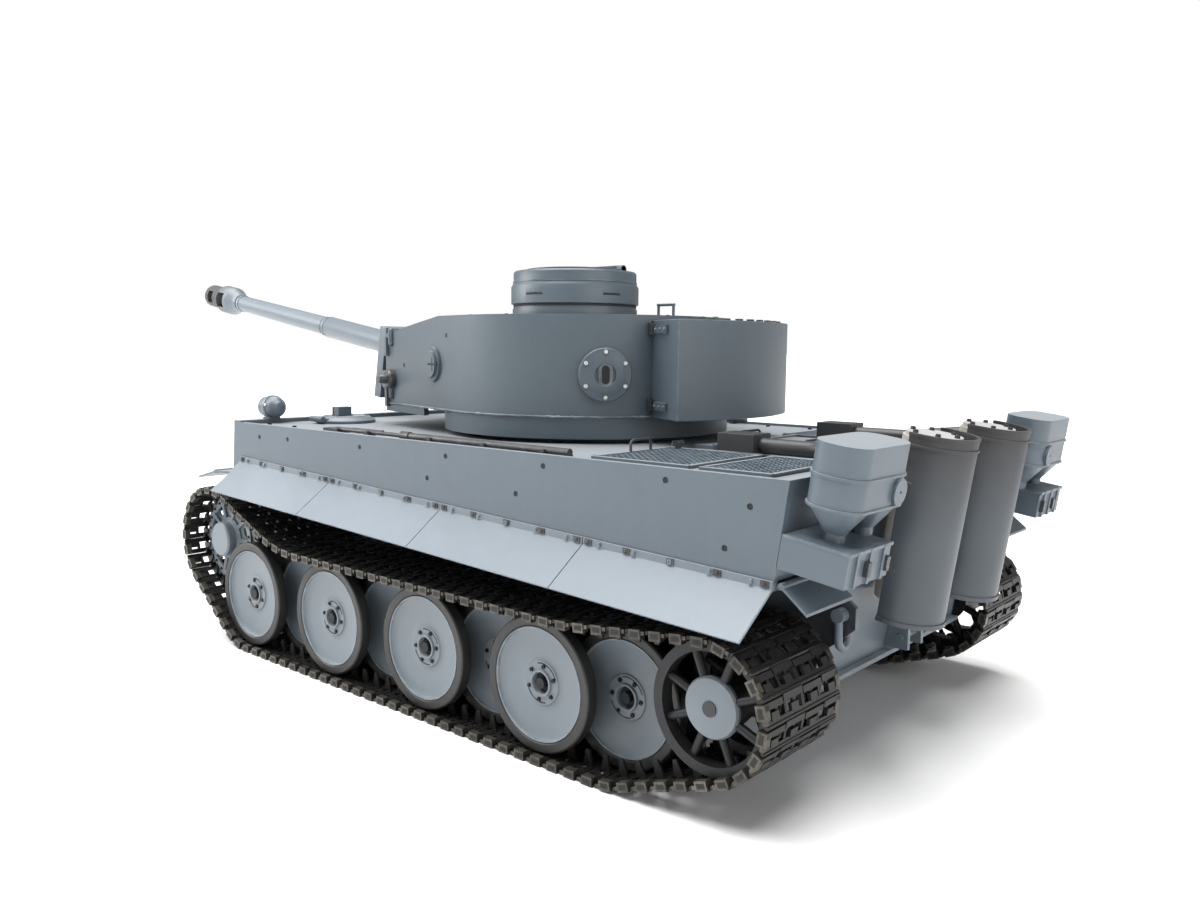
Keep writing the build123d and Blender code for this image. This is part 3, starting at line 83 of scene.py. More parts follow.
WHEEL_COUNT = 8
WHEEL_SPOTS = [middle(f"left_wheel_{number}") for number in range(1, WHEEL_COUNT + 1)]
WHEEL_R = (corners("left_wheel_1")[1].z - corners("left_wheel_1")[0].z) / 2
SPROCKET = middle("left_sprocket")
IDLER = middle("left_idler")
TRACK_Y = (corners("left_track")[0].y + corners("left_track")[1].y) / 2
TRACK_W = corners("left_track")[1].y - corners("left_track")[0].y
HULL_HALF = corners("upper_hull")[1].y
DECK_Z = 109.2
ROOF_Z = corners("engine_deck")[1].z - 2.4
TURRET_TOP = corners("turret_shell")[1].z
SIDE_FRONT = 131.4
SIDE_REAR = -176.3
REAR_LEAN = radians(8.26)
TURRET_X = -9.5
TURRET_R = 67.0
TURRET_LOW = 119.0
CHEEK = (85.0, 45.0)
ROOF_BEND_X = 27.0
BIN_R = 93.2
CUPOLA = (-30.0, 31.0)
CUPOLA_R = 27.5
CUPOLA_TOP = 179.5
TRUNNION = Vector((72.0, 0.0, 137.7))
GUN_TILT = radians(9.3)
LAMP = (132.5, 79.6, 116.0)


# ---- Node trees ---------------------------------------------------------------------------------


class Wire:
    """A socket of a node tree. Arithmetic on it adds Math nodes."""

    def __init__(self, graph, socket):
        self.graph = graph
        self.socket = socket

    def math(self, operation, *others):
        return self.graph.node("ShaderNodeMath", {"operation": operation}, dict(enumerate((self,) + others)))

    def __add__(self, other):
        return self.math("ADD", other)

    __radd__ = __add__

    def __sub__(self, other):
        return self.math("SUBTRACT", other)

    def __rsub__(self, other):
        return (self * -1.0) + other

    def __mul__(self, other):
        return self.math("MULTIPLY", other)

    __rmul__ = __mul__

    def __truediv__(self, other):
        return self.math("DIVIDE", other)

    def above(self, low, high):
        """0 below low, 1 above high, and a straight ramp between."""
        return self.graph.node("ShaderNodeMapRange", {"clamp": True}, {0: self, 1: low, 2: high})


class Graph:
    """A node tree and the one way in which nodes are added to it."""

    def __init__(self, tree):
        self.tree = tree

    def feed(self, value, socket):
        if isinstance(value, Wire):
            self.tree.links.new(value.socket, socket)
        else:
            socket.default_value = value

    def node(self, kind, settings=None, sockets=None, out=0):
        made = self.tree.nodes.new(kind)
        for key, value in (settings or {}).items():
            setattr(made, key, value)
        for key, value in (sockets or {}).items():
            self.feed(value, made.inputs[key])
        return Wire(self, made.outputs[out]) if made.outputs else made


class Finish(Graph):
    """A material under construction, with the patterns that the finishes share."""

    def __init__(self, name):
        self.material = bpy.data.materials.new(name)
        self.material.use_nodes = True
        super().__init__(self.material.node_tree)
        self.tree.nodes.clear()
        self.where = self.node("ShaderNodeTexCoord", out=3)

    def stretched(self, x, y, z):
        return self.node("ShaderNodeMapping", None, {"Vector": self.where, "Scale": (x, y, z)})

    def noise(self, scale, detail=3.0, rough=0.55, where=None):
        return self.node("ShaderNodeTexNoise", None,
                         {"Vector": where or self.where, "Scale": scale, "Detail": detail,
                          "Roughness": rough})

    def blend(self, factor, first, second, how="MIX"):
        """A colour mixed from two."""
        return self.node("ShaderNodeMix", {"data_type": "RGBA", "blend_type": how},
                         {0: factor, 6: first, 7: second}, out=2)

    def grey(self, value):
        """A colour with one level in all three channels."""
        return self.node("ShaderNodeCombineColor", None, {0: value, 1: value, 2: value})

    def shaded(self, colour, level):
        """A colour multiplied by a level."""
        return self.blend(1.0, colour, self.grey(level), "MULTIPLY")

    def along(self, axis):
        """Distance along X, Y or Z in millimetres."""
        split = self.node("ShaderNodeSeparateXYZ", None, {0: self.where}, out="XYZ".index(axis))
        return split * (1.0 / MM)

    def bump(self, height, strength, distance):
        return self.node("ShaderNodeBump", None,
                         {"Strength": strength, "Distance": distance, "Height": height})

    def close(self, colour, roughness, metallic=0.0, normal=None):
        sockets = {"Base Color": colour, "Roughness": roughness, "Metallic": metallic, "Coat Weight": 0.0}
        if normal:
            sockets["Normal"] = normal
        shader = self.node("ShaderNodeBsdfPrincipled", None, sockets)
        self.node("ShaderNodeOutputMaterial", None, {"Surface": shader})
        return self.material


def rgb(colour):
    """A colour socket's value."""
    return (colour[0], colour[1], colour[2], 1.0)


SOOT = (0.030, 0.024, 0.021)
# Pale grey of a painted highlight on upward faces.
TOP_HIGHLIGHT = (0.33, 0.35, 0.365)
# Near-black of a painted shade.
PAINTED_SHADE = (0.010, 0.011, 0.013)


def sprayed_paint(name, colour, roughness=0.42, grain=1.0, wear=0.5, soot=None, shade_band=None):
    """Satin sprayed paint: a faint orange peel, slow tone changes, pale scuffs and, without soot, a painted
    highlight on upward faces.
    soot is (axis, clean, black): where along an axis, in millimetres, it goes from clean to sooted.
    The band of painted shade is (unshaded, shaded): how far, in millimetres, from the centre line it goes
    from plain paint to painted shade."""
    paint = Finish(name)
    slow = paint.noise(22.0, 3.0)
    cloud = paint.noise(140.0, 4.0, 0.6)
    peel = paint.noise(1900.0, 2.0, 0.5)
    streak = paint.noise(1.0, 4.0, 0.6, paint.stretched(260.0, 260.0, 32.0))
    scuff = paint.noise(520.0, 6.0, 0.72).above(0.66, 0.71) * paint.noise(48.0, 2.0).above(0.50, 0.62)
    tone = 1.0 + (slow - 0.5) * 0.22 + (cloud - 0.5) * 0.10 + (peel - 0.5) * 0.10 + (streak - 0.5) * 0.09
    body = paint.shaded(rgb(colour), tone)
    pale = rgb([min(1.0, channel * 1.7 + 0.05) for channel in colour])
    body = paint.blend(scuff * wear, body, pale)
    rough = roughness + (slow - 0.5) * 0.14 + (cloud - 0.5) * 0.10 + scuff * 0.18
    if soot:
        axis, unmarked, black = soot
        depth = paint.along(axis) + (paint.noise(90.0, 4.0, 0.65) - 0.5) * 14.0
        soot_and_shade = depth.above(unmarked, black) * 0.86
        body = paint.blend(soot_and_shade, body, rgb(SOOT))
        rough = rough + soot_and_shade * 0.25
    else:
        # Painted highlight: upward faces are mixed towards a pale grey that stands in for the overhead light
        # on them.
        facing = paint.node("ShaderNodeSeparateXYZ", None,
                            {"Vector": paint.node("ShaderNodeTexCoord", out=1)}, out=2)
        body = paint.blend(facing.above(0.80, 0.97) * 0.62, body, rgb(TOP_HIGHLIGHT))
    # Painted shade: a band of distances from the centre line is mixed towards near-black, standing in for the
    # shade on the tub sides and the inner wheel rows.
    if shade_band:
        unmarked, soot_and_shade = shade_band
        shade_mask = paint.along("Y").math("ABSOLUTE").above(unmarked, soot_and_shade) * 0.93
        body = paint.blend(shade_mask, body, rgb(PAINTED_SHADE))
    normal = paint.bump(peel * 0.6 + paint.noise(5200.0, 2.0) * 0.4, 0.24 * grain, 0.00012)
    return paint.close(body, rough, 0.0, normal)


def worn_edge_highlight(name, colour, bare=0.45):
    """The narrow broken edge of a painted plate, paler in patches: partly rubbed paint, partly a painted
    highlight along the edge.
    """
    edge = Finish(name)
    rub = edge.noise(150.0, 5.0, 0.7).above(0.40, 0.62)
    fine = edge.noise(1400.0, 3.0, 0.6)
    pale = rgb([min(1.0, channel * 1.75 + 0.06) for channel in colour])
    body = edge.blend(rub * bare, rgb(colour), pale)
    body = edge.shaded(body, 0.94 + fine * 0.12)
    return edge.close(body, 0.34 + fine * 0.14)


def dark_steel(name, colour=(0.022, 0.020, 0.019), rub=(0.17, 0.155, 0.135), share=0.5, roughness=0.36):
    """Blackened cast metal, rubbed brighter in patches and pitted."""
    steel = Finish(name)
    broad = steel.noise(85.0, 4.0, 0.62)
    fine = steel.noise(900.0, 5.0, 0.65)
    rubbed = (broad * 0.55 + fine * 0.45).above(0.50 - 0.1 * share, 0.66)
    body = steel.blend(rubbed * share, rgb(colour), rgb(rub))
    body = steel.shaded(body, 0.82 + fine * 0.36)
    rough = roughness + fine * 0.22 - rubbed * 0.10
    normal = steel.bump(fine, 0.35, 0.00018)
    return steel.close(body, rough, 0.35 + rubbed * 0.45, normal)


def rubber(name, colour=(0.052, 0.050, 0.048), roughness=0.5):
    """Tyre or hose rubber with a mould bloom and fine scratches round it."""
    skin = Finish(name)
    bloom = skin.noise(60.0, 4.0, 0.6)
    fine = skin.noise(1600.0, 3.0, 0.6)
    body = skin.shaded(rgb(colour), 0.75 + bloom * 0.45 + fine * 0.12)
    normal = skin.bump(fine, 0.25, 0.0001)
    return skin.close(body, roughness + (bloom - 0.5) * 0.2, 0.0, normal)


def bright_metal(name, colour=(0.55, 0.54, 0.51), roughness=0.26):
    """Machined or plated metal with fine turning marks."""
    metal = Finish(name)
    marks = metal.noise(1.0, 2.0, 0.5, metal.stretched(300.0, 300.0, 4200.0))
    smear = metal.noise(120.0, 4.0, 0.6)
    body = metal.shaded(rgb(colour), 0.78 + smear * 0.34 + marks * 0.10)
    normal = metal.bump(marks, 0.12, 0.00006)
    return metal.close(body, roughness + smear * 0.16, 0.92, normal)


def moulded_plastic(name, colour, roughness=0.45):
    """Moulded plastic with a fine spark-eroded texture."""
    plastic = Finish(name)
    fine = plastic.noise(2600.0, 3.0, 0.6)
    slow = plastic.noise(70.0, 3.0)
    body = plastic.shaded(rgb(colour), 0.88 + slow * 0.20 + fine * 0.06)
    normal = plastic.bump(fine, 0.2, 0.00008)
    return plastic.close(body, roughness + (slow - 0.5) * 0.12, 0.0, normal)


def circuit_board(name):
    """Green board with copper tracks and solder spots."""
    board = Finish(name)
    cells = board.node("ShaderNodeTexVoronoi", {"feature": "F1"}, {"Vector": board.where, "Scale": 260.0})
    lines = board.node("ShaderNodeTexWave", {"bands_direction": "X"},
                       {"Vector": board.where, "Scale": 160.0, "Distortion": 1.5}, out=1)
    spots = 1.0 - cells.above(0.12, 0.2)
    body = board.blend(lines.above(0.6, 0.7) * 0.5, rgb((0.012, 0.085, 0.035)), rgb((0.03, 0.16, 0.07)))
    body = board.blend(spots, body, rgb((0.55, 0.52, 0.45)))
    return board.close(body, 0.35 - spots * 0.1, spots * 0.8)


def striped_wrap(name):
    """Shrink wrap of a battery pack: blue film with creases."""
    wrap = Finish(name)
    crease = wrap.noise(1.0, 5.0, 0.6, wrap.stretched(40.0, 260.0, 260.0))
    body = wrap.shaded(rgb((0.02, 0.07, 0.24)), 0.8 + crease * 0.5)
    normal = wrap.bump(crease, 0.4, 0.0004)
    return wrap.close(body, 0.28 + crease * 0.15, 0.0, normal)


def dust_floor(name):
    """Pale seamless floor."""
    floor = Finish(name)
    slow = floor.noise(3.0, 3.0)
    body = floor.shaded(rgb((0.90, 0.90, 0.895)), 0.985 + slow * 0.03)
    return floor.close(body, 0.55 + slow * 0.1)


# ---- Shapes -------------------------------------------------------------------------------------


class Shape:
    """The solids of one piece, in millimetres, each with its finish. at places the next ones."""

    def __init__(self):
        self.mesh = bmesh.new()
        self.finishes = []
        self.at = Matrix.Identity(4)

    def add(self, points, faces, finish):
        if finish not in self.finishes:
            self.finishes.append(finish)
        slot = self.finishes.index(finish)
        verts = [self.mesh.verts.new(self.at @ Vector(point)) for point in points]
        for face in faces:
            made = self.mesh.faces.new([verts[index] for index in face])
            made.material_index = slot

    def block(self, low, high, finish, taper=0.0):
        """A box between two corners, its top drawn in by taper."""
        (x0, y0, z0), (x1, y1, z1) = low, high
        t = taper
        points = [(x0, y0, z0), (x1, y0, z0), (x1, y1, z0), (x0, y1, z0),
                  (x0 + t, y0 + t, z1), (x1 - t, y0 + t, z1), (x1 - t, y1 - t, z1), (x0 + t, y1 - t, z1)]
        faces = [(0, 3, 2, 1), (4, 5, 6, 7), (0, 1, 5, 4), (1, 2, 6, 5), (2, 3, 7, 6), (3, 0, 4, 7)]
        self.add(points, faces, finish)

    def prism(self, outline, low, high, finish):
        """An (x, y) outline from one Z to another."""
        count = len(outline)
        points = [(x, y, low) for x, y in outline] + [(x, y, high) for x, y in outline]
        faces = [tuple(range(count)), tuple(range(count, 2 * count))]
        faces += [(i, (i + 1) % count, (i + 1) % count + count, i + count) for i in range(count)]
        self.add(points, faces, finish)

    def turned(self, centre, profile, direction, finish, steps=48, start=0.0, sweep=2 * pi):
        """A closed (radius, along) profile turned about an axis through centre."""
        whole = abs(sweep - 2 * pi) < 1e-6
        turn = Vector((0, 0, 1)).rotation_difference(Vector(direction)).to_matrix().to_4x4()
        place = Matrix.Translation(centre) @ turn
        rings = steps if whole else steps + 1
        points = []
        for step in range(rings):
            angle = start + sweep * step / steps
            points += [place @ Vector((r * cos(angle), r * sin(angle), a)) for r, a in profile]
        size = len(profile)
        faces = []
        for step in range(steps):
            here, after = step * size, ((step + 1) % rings) * size
            for i in range(size):
                j = (i + 1) % size
                if profile[i][0] < 1e-6 and profile[j][0] < 1e-6:
                    continue
                faces.append((here + i, here + j, after + j, after + i))
        if not whole:
            faces += [tuple(range(size)), tuple(range((rings - 1) * size, rings * size))]
        self.add(points, faces, finish)

    def rod(self, start, end, radius, finish, steps=16, ends=None):
        """A round bar; ends rounds its rims by that much."""
        run = Vector(end) - Vector(start)
        r = ends if ends is not None else min(radius * 0.25, run.length * 0.2)
        profile = [(0, 0), (radius - r, 0), (radius, r), (radius, run.length - r),
                   (radius - r, run.length), (0, run.length)]
        self.turned(start, profile, run.normalized(), finish, steps)

    def tube(self, route, radius, finish, steps=10):
        """A bent round bar along a list of points."""
        route = [Vector(point) for point in route]
        rings, faces = [], []
        across = None
        for i, point in enumerate(route):
            ahead = route[min(i + 1, len(route) - 1)] - route[max(i - 1, 0)]
            ahead.normalize()
            if across is None:
                across = ahead.orthogonal().normalized()
            across = (across - ahead * across.dot(ahead)).normalized()
            other = ahead.cross(across)
            for step in range(steps):
                angle = 2 * pi * step / steps
                rings.append(point + across * radius * cos(angle) + other * radius * sin(angle))
        for i in range(len(route) - 1):
            for step in range(steps):
                after = (step + 1) % steps
                faces.append((i * steps + step, i * steps + after, (i + 1) * steps + after,
                              (i + 1) * steps + step))
        faces += [tuple(range(steps)), tuple(range((len(route) - 1) * steps, len(route) * steps))]
        self.add(rings, faces, finish)

    def to_mesh(self, name):
        bmesh.ops.remove_doubles(self.mesh, verts=self.mesh.verts, dist=1e-5)
        bmesh.ops.dissolve_degenerate(self.mesh, edges=self.mesh.edges, dist=1e-6)
        bmesh.ops.recalc_face_normals(self.mesh, faces=self.mesh.faces)
        made = bpy.data.meshes.new(name)
        self.mesh.to_mesh(made)
        self.mesh.free()
        made.transform(Matrix.Scale(MM, 4))
        for finish in self.finishes:
            made.materials.append(finish)
        return made


def smooth(mesh, angle=34.0):
    """Smooth shading with the edges past an angle kept sharp."""
    mesh.polygons.foreach_set("use_smooth", [True] * len(mesh.polygons))
    mesh.set_sharp_from_angle(angle=radians(angle))


def new_object(name, mesh):
    """An object of the object's own collection, at the origin."""
    made = bpy.data.objects.new(name, mesh)
    bpy.context.scene.collection.objects.link(made)
    return made


def break_edges(piece, width, angle=30.0, segments=2, material=-1):
    """A bevel on the sharp edges, in millimetres."""
    bevel = piece.modifiers.new("Broken edges", "BEVEL")
    bevel.width = width * MM
    bevel.segments = segments
    bevel.limit_method = "ANGLE"
    bevel.angle_limit = radians(angle)
    bevel.use_clamp_overlap = True
    bevel.harden_normals = True
    bevel.material = material
    bevel.miter_outer = "MITER_ARC"


def mount(piece, body, slot, *nodes):
    """Rides the piece on its body and hides the nodes that it stands for; the finish slot is not used."""
    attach(piece, body)
    if nodes:
        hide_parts(*nodes)
    return piece


def make(name, shape, body, slot, nodes=(), bevel=0.0, angle=34.0):
    """A finished piece from a shape."""
    mesh = shape.to_mesh(name)
    smooth(mesh, angle)
    piece = new_object(name, mesh)
    if bevel:
        break_edges(piece, bevel)
    return mount(piece, body, slot, *nodes)


def softened(node, name, paint, edge, width, slot, angle=30.0, segments=2):
    """A copy of a node's mesh, merged, with its sharp edges broken and the broken edges in the paler edge
    finish, partly rubbed wear and partly a painted highlight.
    """
    shape = bmesh.new()
    shape.from_mesh(frame["nodes"][node].data)
    bmesh.ops.remove_doubles(shape, verts=shape.verts, dist=2e-6)
    bmesh.ops.dissolve_limit(shape, angle_limit=radians(0.4), verts=shape.verts, edges=shape.edges)
    mesh = bpy.data.meshes.new(name)
    shape.to_mesh(mesh)
    shape.free()
    for extra in [layer.name for layer in mesh.attributes if layer.name == "custom_normal"]:
        mesh.attributes.remove(mesh.attributes[extra])
    mesh.materials.clear()
    mesh.materials.append(paint)
    mesh.materials.append(edge)
    mesh.polygons.foreach_set("material_index", [0] * len(mesh.polygons))
    smooth(mesh, angle)
    piece = new_object(name, mesh)
    break_edges(piece, width, angle, segments, 1)
    return mount(piece, BODY[node], slot, node)


# ---- Geometry node trees ------------------------------------------------------------------------


class Tree(Graph):
    """A geometry node tree with named inputs."""

    def __init__(self, name, inputs):
        tree = bpy.data.node_groups.new(name, "GeometryNodeTree")
        tree.interface.new_socket("Geometry", in_out="INPUT", socket_type="NodeSocketGeometry")
        for label, kind, value in inputs:
            socket = tree.interface.new_socket(label, in_out="INPUT", socket_type=kind)
            if value is not None:
                socket.default_value = value
        tree.interface.new_socket("Geometry", in_out="OUTPUT", socket_type="NodeSocketGeometry")
        super().__init__(tree)
        self.entry = tree.nodes.new("NodeGroupInput")

    def given(self, name):
        return Wire(self, self.entry.outputs[name])

    def close(self, geometry):
        solid = self.node("GeometryNodeRealizeInstances", None, {0: geometry})
        done = self.node("GeometryNodeSetMaterial", None,
                         {"Geometry": solid, "Material": self.given("Finish")})
        self.node("NodeGroupOutput", None, {0: done})
        return self.tree


def links_tree():
    """A link on every edge of a closed loop, each lying along its edge."""
    tree = Tree("Links on a loop", [
        ("Link", "NodeSocketObject", None), ("Finish", "NodeSocketMaterial", None)])
    first = tree.node("GeometryNodeInputMeshEdgeVertices", out=2)
    second = tree.node("GeometryNodeInputMeshEdgeVertices", out=3)
    ahead = tree.node("ShaderNodeVectorMath", {"operation": "SUBTRACT"}, {0: second, 1: first})
    kept = tree.tree.nodes.new("GeometryNodeCaptureAttribute")
    kept.domain = "EDGE"
    kept.capture_items.new("VECTOR", "Ahead")
    tree.feed(tree.given("Geometry"), kept.inputs[0])
    tree.feed(ahead, kept.inputs[1])
    points = tree.node("GeometryNodeMeshToPoints", {"mode": "EDGES"}, {"Mesh": Wire(tree, kept.outputs[0])})
    turn = tree.node("FunctionNodeAxesToRotation", {"primary_axis": "Y", "secondary_axis": "X"},
                     {0: (0.0, 1.0, 0.0), 1: Wire(tree, kept.outputs[1])})
    link = tree.node("GeometryNodeObjectInfo", {"transform_space": "ORIGINAL"},
                     {"Object": tree.given("Link")}, out=4)
    placed = tree.node("GeometryNodeInstanceOnPoints", None,
                       {"Points": points, "Instance": link, "Rotation": turn})
    return tree.close(placed)


def spots_tree():
    """A small piece on every point, its Z along the point's facing, turned and sized at random."""
    tree = Tree("Pieces on spots", [
        ("Piece", "NodeSocketObject", None), ("Size change", "NodeSocketFloat", 0.0),
        ("Random turn", "NodeSocketFloat", 0.0), ("Seed", "NodeSocketInt", 3),
        ("Finish", "NodeSocketMaterial", None)])
    facing = tree.node("GeometryNodeInputNamedAttribute", {"data_type": "FLOAT_VECTOR"}, {"Name": "facing"})
    side = tree.node("GeometryNodeInputNamedAttribute", {"data_type": "FLOAT_VECTOR"}, {"Name": "side"})
    turn = tree.node("FunctionNodeAxesToRotation", {"primary_axis": "Z", "secondary_axis": "X"},
                     {0: facing, 1: side})
    chance = tree.node("FunctionNodeRandomValue", {"data_type": "FLOAT"},
                       {2: tree.given("Random turn") * -1.0, 3: tree.given("Random turn"),
                        8: tree.given("Seed")}, out=1)
    spin = tree.node("ShaderNodeCombineXYZ", None, {2: chance})
    turn = tree.node("FunctionNodeRotateRotation", {"rotation_space": "LOCAL"}, {0: turn, 1: spin})
    grow = tree.node("FunctionNodeRandomValue", {"data_type": "FLOAT"},
                     {2: 1.0 - tree.given("Size change"), 3: 1.0 + tree.given("Size change"),
                      8: tree.given("Seed")}, out=1)
    piece = tree.node("GeometryNodeObjectInfo", {"transform_space": "ORIGINAL"},
                      {"Object": tree.given("Piece")}, out=4)
    placed = tree.node("GeometryNodeInstanceOnPoints", None,
                       {"Points": tree.given("Geometry"), "Instance": piece, "Rotation": turn, "Scale": grow})
    return tree.close(placed)


def bead_tree():
    """A lumpy welded bead along an edge path."""
    tree = Tree("Welded bead", [
        ("Radius", "NodeSocketFloat", 0.0006), ("Step", "NodeSocketFloat", 0.0009),
        ("Lumps", "NodeSocketFloat", 0.0003), ("Seed", "NodeSocketInt", 5),
        ("Finish", "NodeSocketMaterial", None)])
    path = tree.node("GeometryNodeMeshToCurve", None, {0: tree.given("Geometry")})
    path = tree.node("GeometryNodeResampleCurve", {"mode": "LENGTH"},
                     {"Curve": path, "Length": tree.given("Step")})
    ring = tree.node("GeometryNodeCurvePrimitiveCircle", {"mode": "RADIUS"},
                     {"Resolution": 7, "Radius": tree.given("Radius")})
    bead = tree.node("GeometryNodeCurveToMesh", None,
                     {"Curve": path, "Profile Curve": ring, "Fill Caps": True})
    lump = tree.node("ShaderNodeTexNoise", {"noise_dimensions": "4D"},
                     {"Scale": 700.0, "Detail": 2.0, "W": tree.given("Seed")}, out=1)
    push = tree.node("ShaderNodeVectorMath", {"operation": "SUBTRACT"}, {0: lump, 1: (0.5, 0.5, 0.5)})
    push = tree.node("ShaderNodeVectorMath", {"operation": "SCALE"}, {0: push, "Scale": tree.given("Lumps")})
    bead = tree.node("GeometryNodeSetPosition", None, {"Geometry": bead, "Offset": push})
    return tree.close(bead)


def screen_tree():
    """A woven screen of crossing bars that fills a rectangle."""
    tree = Tree("Wire screen", [
        ("Length", "NodeSocketFloat", 0.03), ("Width", "NodeSocketFloat", 0.03),
        ("Length count", "NodeSocketInt", 8), ("Width count", "NodeSocketInt", 10),
        ("Wire", "NodeSocketFloat", 0.0007), ("Finish", "NodeSocketMaterial", None)])
    length, width = tree.given("Length"), tree.given("Width")
    wire = tree.given("Wire")
    sets = []
    for count, span, cross, axis in (("Length count", length, width, 0), ("Width count", width, length, 1)):
        many = tree.given(count)
        ends = [0, 0, 0]
        ends[axis] = span * -0.5
        start = tree.node("ShaderNodeCombineXYZ", None, dict(enumerate(ends)))
        ends[axis] = span / (many - 1.0)
        step = tree.node("ShaderNodeCombineXYZ", None, dict(enumerate(ends)))
        line = tree.node("GeometryNodeMeshLine", {"mode": "OFFSET"},
                         {"Count": many, "Start Location": start, "Offset": step})
        size = [wire, wire, wire * 1.2]
        size[1 - axis] = cross
        bar = tree.node("GeometryNodeMeshCube", None,
                        {"Size": tree.node("ShaderNodeCombineXYZ", None, dict(enumerate(size)))})
        sets.append(tree.node("GeometryNodeInstanceOnPoints", None, {"Points": line, "Instance": bar}))
    joined = tree.tree.nodes.new("GeometryNodeJoinGeometry")
    for part in reversed(sets):
        tree.feed(part, joined.inputs[0])
    return tree.close(Wire(tree, joined.outputs[0]))


def grow(name, base, tree, **inputs):
    """Runs a tree on a base mesh and returns the plain mesh that it makes."""
    seed = new_object(name + "_base", base)
    modifier = seed.modifiers.new("Grow", "NODES")
    modifier.node_group = tree
    for item in tree.interface.items_tree:
        if item.item_type == "SOCKET" and item.in_out == "INPUT" and item.name in inputs:
            modifier[item.identifier] = inputs[item.name]
    reading = bpy.context.evaluated_depsgraph_get()
    made = bpy.data.meshes.new_from_object(seed.evaluated_get(reading), depsgraph=reading)
    made.name = name
    seed.modifiers.remove(modifier)
    bpy.data.objects.remove(seed)
    bpy.data.meshes.remove(base)
    return made


def template(name, shape):
    """An object outside the scene that a tree copies."""
    return bpy.data.objects.new(name, shape.to_mesh(name))


def spots_mesh(name, spots):
    """Points with their facing and side directions, from (place, facing, side) in millimetres."""
    mesh = bpy.data.meshes.new(name)
    mesh.from_pydata([Vector(place) * MM for place, facing, side in spots], [], [])
    for label, index in (("facing", 1), ("side", 2)):
        layer = mesh.attributes.new(label, "FLOAT_VECTOR", "POINT")
        layer.data.foreach_set("vector", [value for spot in spots for value in Vector(spot[index])])
    return mesh


def set_out(name, spots, piece, finish, body, slot, turn=0.0, change=0.0, seed=3, nodes=()):
    """Copies of a small piece on spots, as one plain piece on a body."""
    spots = [(place, facing, Vector(facing).orthogonal()) if side is None else (place, facing, side)
             for place, facing, side in spots]
    mesh = grow(name, spots_mesh(name + "_spots", spots), TREES["spots"], Piece=piece, Finish=finish,
                Seed=seed, **{"Random turn": turn, "Size change": change})
    smooth(mesh)
    made = new_object(name, mesh)
    bpy.data.objects.remove(piece)
    return mount(made, body, slot, *nodes)


def path_mesh(name, points, closed=False):
    """An edge path through points in millimetres."""
    mesh = bpy.data.meshes.new(name)
    count = len(points)
    edges = [(i, (i + 1) % count) for i in range(count if closed else count - 1)]
    mesh.from_pydata([Vector(point) * MM for point in points], edges, [])
    return mesh


# ---- Frames of the leaning and tilted pieces -------------------------------------------------------


def rear_frame():
    """X across, Y up along the leaning rear plate, Z out from it; the origin is at the deck's height."""
    up = Vector((-sin(REAR_LEAN), 0, cos(REAR_LEAN)))
    out = Vector((-cos(REAR_LEAN), 0, -sin(REAR_LEAN)))
    across = Vector((0, 1, 0))
    turn = Matrix((across, up, out)).transposed().to_4x4()
    return Matrix.Translation((SIDE_REAR, 0, DECK_Z)) @ turn


def gun_frame():
    """X along the barrel, Y left, Z up; the origin is at the trunnions."""
    return Matrix.Translation(TRUNNION) @ Matrix.Rotation(-GUN_TILT, 4, "Y")


def side_low(x):
    """Height of the side plates' lower edge along the hull."""
    rear_z, front_z = 78.2, 92.4
    return rear_z + (front_z - rear_z) / (SIDE_FRONT - SIDE_REAR) * (x - SIDE_REAR)


def turret_wall(distance, inset=0.0):
    """(x, y, outward normal) of the turret's left wall, from the bin to the cheek's corner."""
    cheek = cheek_angle()
    arc_end = pi / 2 - cheek
    start = pi
    arc = (start - arc_end) * TURRET_R
    if distance < arc:
        angle = start - distance / TURRET_R
        out = Vector((cos(angle), sin(angle), 0))
        return Vector((TURRET_X, 0, 0)) + out * (TURRET_R - inset), out
    out = Vector((cos(arc_end), sin(arc_end), 0))
    along = Vector((out.y, -out.x, 0))
    foot = Vector((TURRET_X, 0, 0)) + out * (TURRET_R - inset)
    return foot + along * (distance - arc), out


def cheek_angle():
    """How far the cheek plates turn in from straight ahead."""
    reach = Vector((CHEEK[0] - 0.5 - TURRET_X, CHEEK[1] - 0.5))
    return asin((TURRET_R - 0.5) / reach.length) - atan2(reach.y, reach.x)


# ---- Settings -------------------------------------------------------------------------------------


def colour_setting(name, description, default):
    return FloatVectorProperty(name=name, description=description, default=default, size=3, min=0.0, max=1.0,
                               subtype="COLOR")


def length_setting(name, description, default):
    return FloatProperty(name=name, description=description, default=default, min=0.0, unit="LENGTH")


class TankColours(bpy.types.PropertyGroup):
    hull: colour_setting("Hull", "Paint of the hull plates", (0.088, 0.112, 0.134))
    skirt: colour_setting("Skirts", "Paint of the sloping skirts", (0.150, 0.178, 0.205))
    turret: colour_setting("Turret", "Paint of the turret", (0.070, 0.092, 0.110))
    barrel: colour_setting("Barrel", "Paint of the gun", (0.130, 0.155, 0.178))
    wheel: colour_setting("Wheels", "Paint of the road wheels", (0.140, 0.166, 0.188))
    shield: colour_setting("Exhaust", "Paint of the exhaust shields", (0.055, 0.066, 0.078))
    track: colour_setting("Tracks", "Blackened steel of the tracks", (0.014, 0.0135, 0.013))
    brass: colour_setting("Link ends", "Rubbed ends of the links", (0.170, 0.155, 0.125))
    tan: colour_setting("Silencer caps", "Heat-tinted silencer caps", (0.40, 0.37, 0.33))


